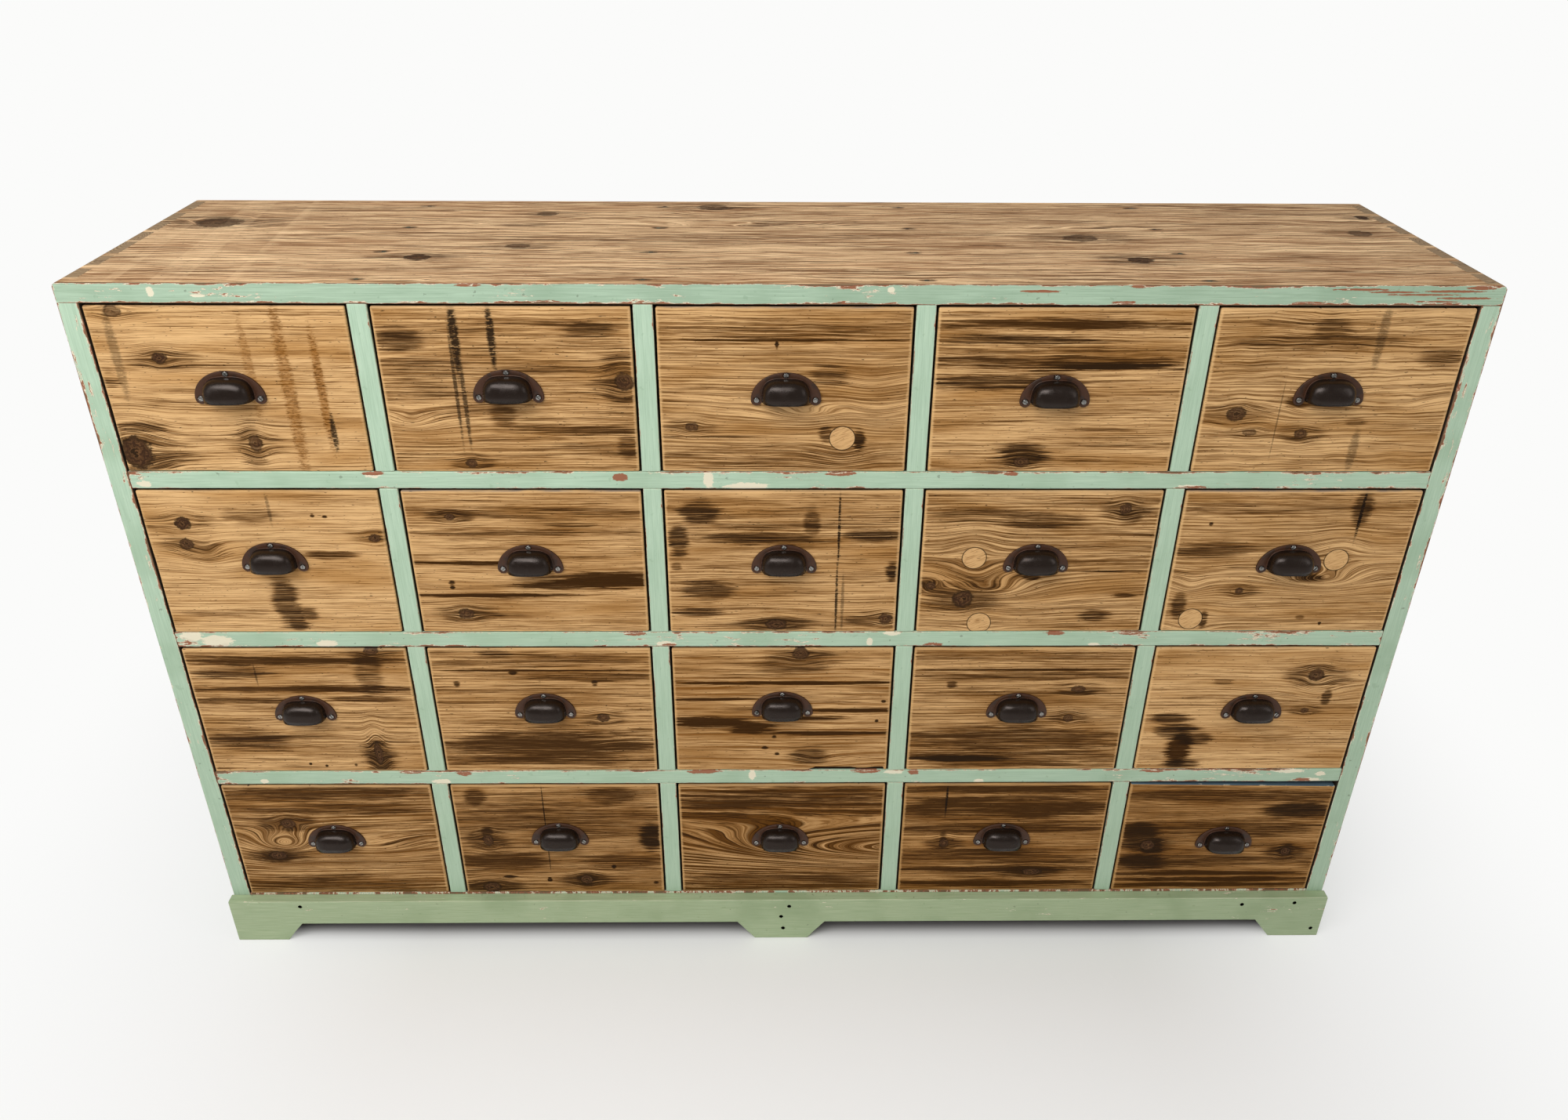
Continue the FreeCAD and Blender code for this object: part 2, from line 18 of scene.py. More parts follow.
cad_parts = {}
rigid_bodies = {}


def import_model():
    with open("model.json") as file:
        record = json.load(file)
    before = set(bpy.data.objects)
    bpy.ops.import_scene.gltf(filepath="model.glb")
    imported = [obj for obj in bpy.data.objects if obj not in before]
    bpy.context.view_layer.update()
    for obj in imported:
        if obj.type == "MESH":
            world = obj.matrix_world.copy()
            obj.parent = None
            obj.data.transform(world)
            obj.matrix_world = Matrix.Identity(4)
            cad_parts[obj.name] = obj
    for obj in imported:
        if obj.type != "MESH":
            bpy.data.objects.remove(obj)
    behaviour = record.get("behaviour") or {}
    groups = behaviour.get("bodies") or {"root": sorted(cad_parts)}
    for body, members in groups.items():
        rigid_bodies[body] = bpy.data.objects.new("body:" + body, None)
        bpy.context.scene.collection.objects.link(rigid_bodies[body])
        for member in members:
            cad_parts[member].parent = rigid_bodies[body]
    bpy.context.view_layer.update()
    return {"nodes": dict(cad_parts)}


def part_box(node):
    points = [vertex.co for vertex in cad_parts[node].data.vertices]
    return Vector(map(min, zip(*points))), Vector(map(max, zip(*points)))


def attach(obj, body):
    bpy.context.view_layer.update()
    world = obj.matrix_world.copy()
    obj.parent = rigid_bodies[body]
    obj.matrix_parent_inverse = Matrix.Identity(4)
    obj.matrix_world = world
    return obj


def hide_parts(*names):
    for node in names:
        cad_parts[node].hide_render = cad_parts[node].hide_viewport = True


for leftover in list(bpy.data.objects):
    bpy.data.objects.remove(leftover)
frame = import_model()

# %% [markdown]
# ## Where things are
#
# A few planes of the case set out everything else. They are read from the CAD nodes,
# so a changed cabinet would still fit together.

# %% Read the main planes of the case
MM = 0.001
ROWS, COLUMNS = 4, 5


def extent(node):
    """A CAD node's lowest and highest corners, in millimetres."""
    return tuple(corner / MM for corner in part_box(node))


top_low, top_high = extent("top_board")
side_low, side_high = extent("side_left")
CASE_HALF = top_high.x
FRONT_Y, BACK_Y = top_low.y, top_high.y
CASE_DEPTH = BACK_Y - FRONT_Y
CASE_MIDDLE = (FRONT_Y + BACK_Y) / 2
SIDE = side_high.x - side_low.x
TOP = top_high.z - top_low.z
INNER_HALF = CASE_HALF - SIDE
places = [f"r{row + 1}_c{column + 1}" for row in range(ROWS) for column in range(COLUMNS)]
print("case", 2 * CASE_HALF, "wide,", round(CASE_DEPTH), "deep, top at", round(top_high.z))

# %% [markdown]
# ## Writing materials as sums
#
# A procedural material is a graph of small operations. Wiring dozens of Math nodes by
# hand hides what they mean, so a wire here is an object that can be added, multiplied
# or compared like a number, and each sign lays one node.

# %% A wire that works like a number
class Wire:
    """One socket of a node tree; arithmetic on it lays Math nodes."""

    def __init__(self, tree, socket):
        self.tree, self.socket = tree, socket

    def math(self, operation, *others, flip=False):
        values = (*others, self) if flip else (self, *others)
        return add(self.tree, "ShaderNodeMath", *values, operation=operation)

    def fade(self, start, end, first=0.0, last=1.0):
        """Goes smoothly from first to last as this wire goes from start to end."""
        node = lay(self.tree, "ShaderNodeMapRange", interpolation_type="SMOOTHSTEP")
        for name, value in zip(("Value", "From Min", "From Max", "To Min", "To Max"),
                               (self, start, end, first, last)):
            feed(node.inputs[name], value)
        return Wire(self.tree, node.outputs["Result"])


def arithmetic(operation, flip):
    """A method that lays one Math node; flipped, the wire comes second."""
    return lambda wire, *others: wire.math(operation, *others, flip=flip)


for operation, names in {
        "ADD": "__add__ __radd__", "SUBTRACT": "__sub__ __rsub__",
        "MULTIPLY": "__mul__ __rmul__", "DIVIDE": "__truediv__ __rtruediv__",
        "POWER": "__pow__", "ABSOLUTE": "__abs__", "MINIMUM": "low", "MAXIMUM": "high"}.items():
    for method in names.split():
        setattr(Wire, method, arithmetic(operation, method in ("__rsub__", "__rtruediv__")))


def lay(tree, kind, **settings):
    """One new node with its settings."""
    node = tree.nodes.new(kind)
    for name, value in settings.items():
        setattr(node, name, value)
    return node


def feed(socket, value):
    """Gives an input a wire, or a plain number, vector or colour."""
    if isinstance(value, Wire):
        value.tree.links.new(value.socket, socket)
    else:
        socket.default_value = value


def add(tree, kind, *values, out=0, **settings):
    """A node fed in the order of its inputs; gives the wire of one output."""
    node = lay(tree, kind, **settings)
    for socket, value in zip(node.inputs, values):
        feed(socket, value)
    return Wire(tree, node.outputs[out])


# %% Colours, noise and vectors on wires
def paint(red, green, blue):
    """A colour from the 0 to 255 that a colour picker shows, in Blender's linear values."""
    return tuple(
        (part / 255 / 12.92) if part <= 10 else ((part / 255 + 0.055) / 1.055) ** 2.4
        for part in (red, green, blue)
    ) + (1.0,)


def blend(first, second, share):
    """A plain colour between two plain colours."""
    return tuple(a + (b - a) * share for a, b in zip(first, second))


def mix(amount, under, over):
    """Lays one colour over another by an amount from 0 to 1."""
    wire = next(value for value in (amount, under, over) if isinstance(value, Wire))
    node = lay(wire.tree, "ShaderNodeMix", data_type="RGBA")
    for index, value in ((0, amount), (6, under), (7, over)):
        feed(node.inputs[index], value)
    return Wire(wire.tree, node.outputs[2])


def coats(colour, *layers):
    """Lays (amount, colour) layers over a colour, one after the other."""
    for amount, over in layers:
        colour = mix(amount, colour, over)
    return colour


def split(vector):
    """The X, Y and Z of a vector."""
    node = lay(vector.tree, "ShaderNodeSeparateXYZ")
    feed(node.inputs[0], vector)
    return [Wire(vector.tree, output) for output in node.outputs]


def join(x, y, z):
    """A vector of three values, at least one of them a wire."""
    wire = next(value for value in (x, y, z) if isinstance(value, Wire))
    return add(wire.tree, "ShaderNodeCombineXYZ", x, y, z)


def speckle(x, y, z, detail=2.0, rough=0.5):
    """Perlin noise from 0 to 1 at a point whose parts are already scaled."""
    point = join(x, y, z)
    node = lay(point.tree, "ShaderNodeTexNoise")
    for name, value in (("Vector", point), ("Scale", 1.0), ("Detail", detail),
                        ("Roughness", rough)):
        feed(node.inputs[name], value)
    return Wire(point.tree, node.outputs["Fac"])


# %% [markdown]
# ## Effects that several finishes share
#
# Grain, knots and wear occur on many boards, so each is a node group: built once, with
# named inputs and outputs, and placed in a material with that board's own values.

# %% Build a node group from a function
def effect(name, inputs, outputs, rule):
    """A shader node group; the rule gets its input wires and gives its output wires."""
    tree = bpy.data.node_groups.new(name, "ShaderNodeTree")
    inputs, outputs = inputs.split(", "), outputs.split(", ")
    for labels, direction in ((inputs, "INPUT"), (outputs, "OUTPUT")):
        for label in labels:
            tree.interface.new_socket(label, in_out=direction, socket_type="NodeSocketFloat")
    entry, end = lay(tree, "NodeGroupInput"), lay(tree, "NodeGroupOutput")
    results = rule(*[Wire(tree, entry.outputs[label]) for label in inputs])
    for label, result in zip(outputs, results):
        feed(end.inputs[label], result)
    print("effect:", name, len(tree.nodes), "nodes")
    return tree


def use(group, tree, *values):
    """Places a group in a tree and gives the wires of all its outputs."""
    node = lay(tree, "ShaderNodeGroup", node_tree=group)
    for socket, value in zip(node.inputs, values):
        feed(socket, value)
    wires = [Wire(tree, output) for output in node.outputs]
    return wires if len(wires) > 1 else wires[0]


# %% [markdown]
# ### Grain
#
# A pine board is sawn out of growth rings. Each ring goes from pale, soft early wood to
# a dark, hard line of late wood. Along the board the lines run on and on, so the rings
# are a saw-toothed function of the place across the board, with a slow wobble. Short
# fibres and dark wax that was rubbed into the open grain lie along them.

# %% The grain of a sawn board
def grain_rule(along, across, depth, pitch, seed):
    """Lines of late wood, fine fibre, waxy streaks and a slow change of tone."""
    # Rings differ in width, so the place across is stretched before it is cut up.
    uneven = across / pitch + 2.6 * speckle(across / pitch * 0.3, seed, 0.0, 2.0)
    ring = uneven.math("FRACT")
    number = uneven.math("FLOOR")
    strength = speckle(number * 7.31, along * 0.006, seed, 1.0).fade(0.34, 0.62)
    rings = ring.fade(0.15, 0.9) ** 2.0 * ring.fade(1.0, 0.92)
    fibre = speckle(along * 0.04, across * 1.4, seed + depth * 0.5, 3.0, 0.6)
    thin = speckle(along * 0.009, across * 0.85, seed + 9.0, 3.0, 0.62)
    bands = speckle(along * 0.006, across * 0.11, seed + 14.0, 2.0)
    tone = speckle(along * 0.006, across * 0.035, seed + 4.0, 2.0)
    return rings * strength, fibre, thin * 0.78 + bands * 0.22, tone


GRAIN = effect("pine_grain", "Along, Across, Depth, Pitch, Seed",
               "Rings, Fibre, Streaks, Tone", grain_rule)


# %% [markdown]
# ### Knots, flames and stains
#
# A branch pushes the rings aside, so a knot is both a dark, round thing and a bend in
# the lines near it. Where the saw cut a bulge of the trunk, the rings close into long
# loops, called flames: a low hill added to the place across the board makes them. Old
# stains bleed along the fibres, so their edge is broken by a streaky noise.

# %% Knots, flames, stains and plugs
def knot_rule(along, across, x, z, length, height, spread):
    """How far a knot bends the lines, and the distance from it in radii."""
    off_x, off_z = (along - x) / length, (across - z) / height
    reach = off_x * off_x + off_z * off_z
    shift = (z - across) * spread * (reach * -0.22).math("EXPONENT")
    return shift, reach.math("SQRT")


KNOT = effect("knot", "Along, Across, Knot X, Knot Z, Length, Height, Spread",
              "Shift, Radius", knot_rule)


def flame_rule(along, across, x, z, length, height, rise):
    """A low hill in the place across the board."""
    off_x, off_z = (along - x) / length, (across - z) / height
    return (rise / (1.0 + off_x * off_x + off_z * off_z),)


FLAME = effect("flame", "Along, Across, Top X, Top Z, Length, Height, Rise",
               "Shift", flame_rule)


def stain_rule(along, across, ragged, x, z, half_length, half_height, strength):
    """A long blot with a ragged edge."""
    off_x, off_z = (along - x) / half_length, (across - z) / half_height
    inside = 1.15 - (off_x * off_x + off_z * off_z) ** 0.5
    return ((inside + ragged * 2.2 - 1.1).fade(-0.3, 0.45) * strength,)


STAIN = effect("stain", "Along, Across, Ragged, Middle X, Middle Z, "
               "Half Length, Half Height, Strength",
               "Mask", stain_rule)


# %% [markdown]
# ### A waxed pine board
#
# One function writes the finish of every waxed board from a short list: how wide its
# rings are, how dark it has become, and where its knots, flames, stains and plugs are.
# It works in millimetres from the middle of the board, along the grain and across it.
# The list is what makes twenty fronts that are all different.

# %% Colours of the waxed pine
HONEY, SUNNED = paint(188, 142, 87), paint(222, 180, 126)
LATE_WOOD, WAX_BROWN, WAX_DARK = paint(126, 80, 30), paint(114, 72, 26), paint(56, 32, 6)
# PAINTED_GAP_SHADE is near black, for painted shade in the gaps round the drawers.
SOOT, TOFFEE, PAINTED_GAP_SHADE = paint(30, 20, 10), paint(138, 84, 20), paint(12, 9, 7)
KNOT_HEART, KNOT_RING = paint(112, 78, 48), paint(58, 38, 24)
PLUG_WOOD, BLUE_TRACE = paint(206, 164, 112), paint(70, 88, 104)
WORN_PALE, WORN_BROWN = paint(255, 218, 170), paint(212, 168, 124)
WORN_LATE, WORN_DARK = paint(150, 106, 68), paint(88, 62, 38)


def darkest(masks):
    """The strongest of several masks, or nothing if there are none."""
    result = None
    for mask in masks:
        result = mask if result is None else result.high(mask)
    return result


def millimetres(tree):
    """The place on a piece, from its own origin, in millimetres."""
    coordinates = lay(tree, "ShaderNodeTexCoord")
    return [part / MM for part in split(Wire(tree, coordinates.outputs["Object"]))]


def new_material(name):
    """A material, its node tree, and its shader."""
    material = bpy.data.materials.new(name)
    material.use_nodes = True
    return material, material.node_tree, material.node_tree.nodes["Principled BSDF"]


def relief(tree, shader, height, depth):
    """Raises and lowers the surface's shading by a height from 0 to 1."""
    node = lay(tree, "ShaderNodeBump")
    node.inputs["Distance"].default_value = depth * MM
    node.inputs["Strength"].default_value = 1.0
    feed(node.inputs["Height"], height)
    tree.links.new(node.outputs["Normal"], shader.inputs["Normal"])


def dress(tree, shader, colour, roughness, height, depth):
    """Ends a material with its colour, roughness and relief."""
    feed(shader.inputs["Base Color"], colour)
    feed(shader.inputs["Roughness"], roughness)
    relief(tree, shader, height, depth)


# %% Knots, plugs and the marks of a plane
def knot_coats(colour, radius, dark, bark):
    """A knot: its ringed heart, a black rim and a black core."""
    heart = mix(abs(radius + bark * 0.8 - 0.6).fade(0.05, 0.4), KNOT_RING, KNOT_HEART)
    return coats(colour, (radius.fade(1.1, 0.9) * dark, heart),
                 (abs(radius - 1.0).fade(0.25, 0.05) * (dark * 0.75), SOOT),
                 ((radius + bark * 1.5).fade(0.35, 0.1) * (dark * 0.9), SOOT))


def plug_coats(colour, radius, along, across, seed):
    """A round plug with slanting grain of its own and a dark joint."""
    plain = speckle(along * 0.06 + across * 0.05, across * 0.6 - along * 0.25, seed, 3.0)
    disc = mix(plain.fade(0.45, 0.75) * 0.6, PLUG_WOOD, LATE_WOOD)
    return coats(colour, (radius.fade(1.01, 0.99), disc),
                 ((abs(radius - 1.0)).fade(0.06, 0.02) * 0.85, SOOT))


def planed_coats(colour, along, across, ragged, seed, pale, late):
    """Long fine lines that a plane left, and pale rays across the board's left end."""
    combed = speckle(along * 0.012, across * 0.5, seed + 30.0, 3.0, 0.6)
    rays = speckle((along + across * 0.06) * 0.05, seed, 0.0, 1.0)
    near_end = abs(along + 690.0).fade(110.0, 60.0)
    return coats(colour, (combed.fade(0.53, 0.6) * 0.8, pale),
                 (combed.fade(0.44, 0.38) * 0.6, late),
                 (rays.fade(0.52, 0.58) * near_end * ragged.fade(0.3, 0.6) * 0.22, pale))


# %% The waxed pine material
PLUG_RADIUS = 15.5
WAXED_SHADES = (HONEY, SUNNED, LATE_WOOD, WAX_BROWN, WAX_DARK)
WORN_SHADES = (WORN_BROWN, WORN_PALE, WORN_LATE, WORN_LATE, WORN_DARK)


def waxed_pine(name, board, half_length, half_width, flat=False):
    """Pine with its wax, from a board's list; flat boards lie, the others stand."""
    material, tree, shader = new_material(name)
    x, y, z = millimetres(tree)
    along, across, depth = (x, y, z) if flat else (x, z, y)
    wood, pale, late, brown, dark_wax = WORN_SHADES if flat else WAXED_SHADES
    seed = board["seed"] * 13.7
    wander = speckle(along * 0.009, across * 0.02, seed, 2.0) - 0.5
    ragged = speckle(along * 0.018, across * 0.42, seed + 3.0, 4.0, 0.66)
    drips = speckle(along * 0.16, across * 0.62, seed + 6.0, 4.0, 0.7)
    bark = speckle(along * 0.16, across * 0.2, seed + 8.0, 4.0, 0.65) - 0.5

    place, knots, halos, plugs = across + wander * board.get("wobble", 5.0), [], [], []
    for knot_x, knot_z, length, height, dark in board.get("knots", ()):
        shift, radius = use(KNOT, tree, along, across, knot_x, knot_z, length, height, 0.75)
        place += shift
        knots.append((radius + bark * 1.1, dark))
        halos.append(use(STAIN, tree, along, across, ragged, knot_x, knot_z,
                         length * 3.0 + 8.0, height * 1.3 + 3.0, dark * 0.55))
    for flame in board.get("flames", ()):
        place += use(FLAME, tree, along, across, *flame)
    for plug in board.get("plugs", ()):
        shift, radius = use(KNOT, tree, along, across, *plug, PLUG_RADIUS, PLUG_RADIUS, 0.7)
        place += shift
        plugs.append(radius)
    coarse = board.get("coarse", 1.0)
    rings, fibre, streaks, tone = use(GRAIN, tree, along * coarse, place * coarse, depth,
                                      board["pitch"] * coarse, seed)
    stains = [[use(STAIN, tree, along, across, edge, *stain) for stain in board.get(kind, ())]
              for kind, edge in (("soot", ragged), ("toffee", ragged), ("drips", drips),
                                 ("runs", drips))]
    stains[0] = halos + stains[0]
    soot, toffee, marks, runs = (darkest(masks) or 0.0 for masks in stains)

    # Wax lodges in the streaks, and stains spread from there: a stain is where they join.
    level = streaks + board["wax"] * 0.24 + soot * 0.2 + toffee * 0.21 + fibre * 0.3 - 0.14
    deep = board.get("deep", 0.0)
    wood, pale = blend(wood, WAX_BROWN, deep), blend(pale, wood, deep)
    colour = coats(mix(tone.fade(0.25, 0.62), wood, pale),
                   (fibre.fade(0.35, 0.75) * 0.24, late),
                   (rings * board.get("lines", 0.55), late))
    if "bold" in board:
        colour = mix(rings.fade(0.04, 0.3) * board["bold"], colour, dark_wax)
    colour = coats(colour, (level.fade(0.52, 0.66) * 0.76, brown),
                   (level.fade(0.63, 0.76) * 0.92, dark_wax))
    if runs:
        colour = coats(colour, (runs * drips.fade(0.1, 0.6) * 1.2, TOFFEE),
                       (runs * drips.fade(0.5, 0.58) * 0.9, dark_wax))
    if toffee:
        colour = mix(toffee.fade(0.75, 0.95) * level.fade(0.3, 0.6) * 0.85, colour, dark_wax)
    if soot:
        colour = mix(soot * level.fade(0.48, 0.9) * 0.9, colour, SOOT)
    if marks:
        colour = mix(marks * drips.fade(0.34, 0.46), colour, SOOT)
    if flat:
        colour = planed_coats(colour, along, across, ragged, seed, pale, late)

    # A worn rim, where the sander cut through the stain all round the front.
    rim = (half_length - abs(along)).low(half_width - abs(across))
    colour = mix((rim + ragged * 6.0).fade(7.5, 4.5) * board.get("rim", 0.6), colour, pale)
    for radius, dark in knots:
        colour = knot_coats(colour, radius, dark, bark)
    for radius in plugs:
        colour = plug_coats(colour, radius, along, across, seed)
    dashes = speckle(along * 0.16, across * 0.7, seed + 20.0, 1.0).fade(0.71, 0.76)
    colour = mix(dashes * 0.8, colour, SOOT)
    # Standing boards: traces of blue paint along the upper edge, and painted shade, near black,
    # on the edges more than a few millimetres behind the face, where the gaps round a drawer
    # lie in shade.
    if not flat:
        upper = across.fade(half_width - 2.2, half_width - 0.6) * board.get("blue", 0.15)
        colour = coats(colour, (upper * ragged.fade(0.35, 0.6), BLUE_TRACE),
                       (depth.fade(-8.0, -5.0) * 0.9, PAINTED_GAP_SHADE))

    shader.inputs["Specular IOR Level"].default_value = 0.05
    dress(tree, shader, colour, fibre.fade(0.2, 0.8, 0.5, 0.68),
          1.0 - rings * 0.4 - fibre * 0.4 - level * 0.4, 0.4)
    return material


# %% [markdown]
# ### The twenty fronts
#
# Each front has a line of settings and then lines of marks, one kind of mark to a line.
# Every mark starts with its x, z, half length and half height. Then knots have a
# darkness and flames have a rise, and stains have a strength: soot and toffee lie along
# the grain, drips and runs fell down across it. A plug has only its place.

# %% What each front shows
def marks(text):
    """Marks as numbers, from a text with a comma between marks."""
    return [tuple(float(part) for part in mark.split()) for mark in text.split(",")]


def boards(table):
    """Boards from a table: a line of settings each, then lines of marks of one kind."""
    result = {}
    for line in table.split("\n")[1:-1]:
        word, rest = line.split(" ", 1)
        if "=" in rest:
            result[word] = board = {}
            for setting in rest.split():
                name, value = setting.split("=")
                board[name] = float(value)
        else:
            board.setdefault(word, []).extend(marks(rest))
    return result


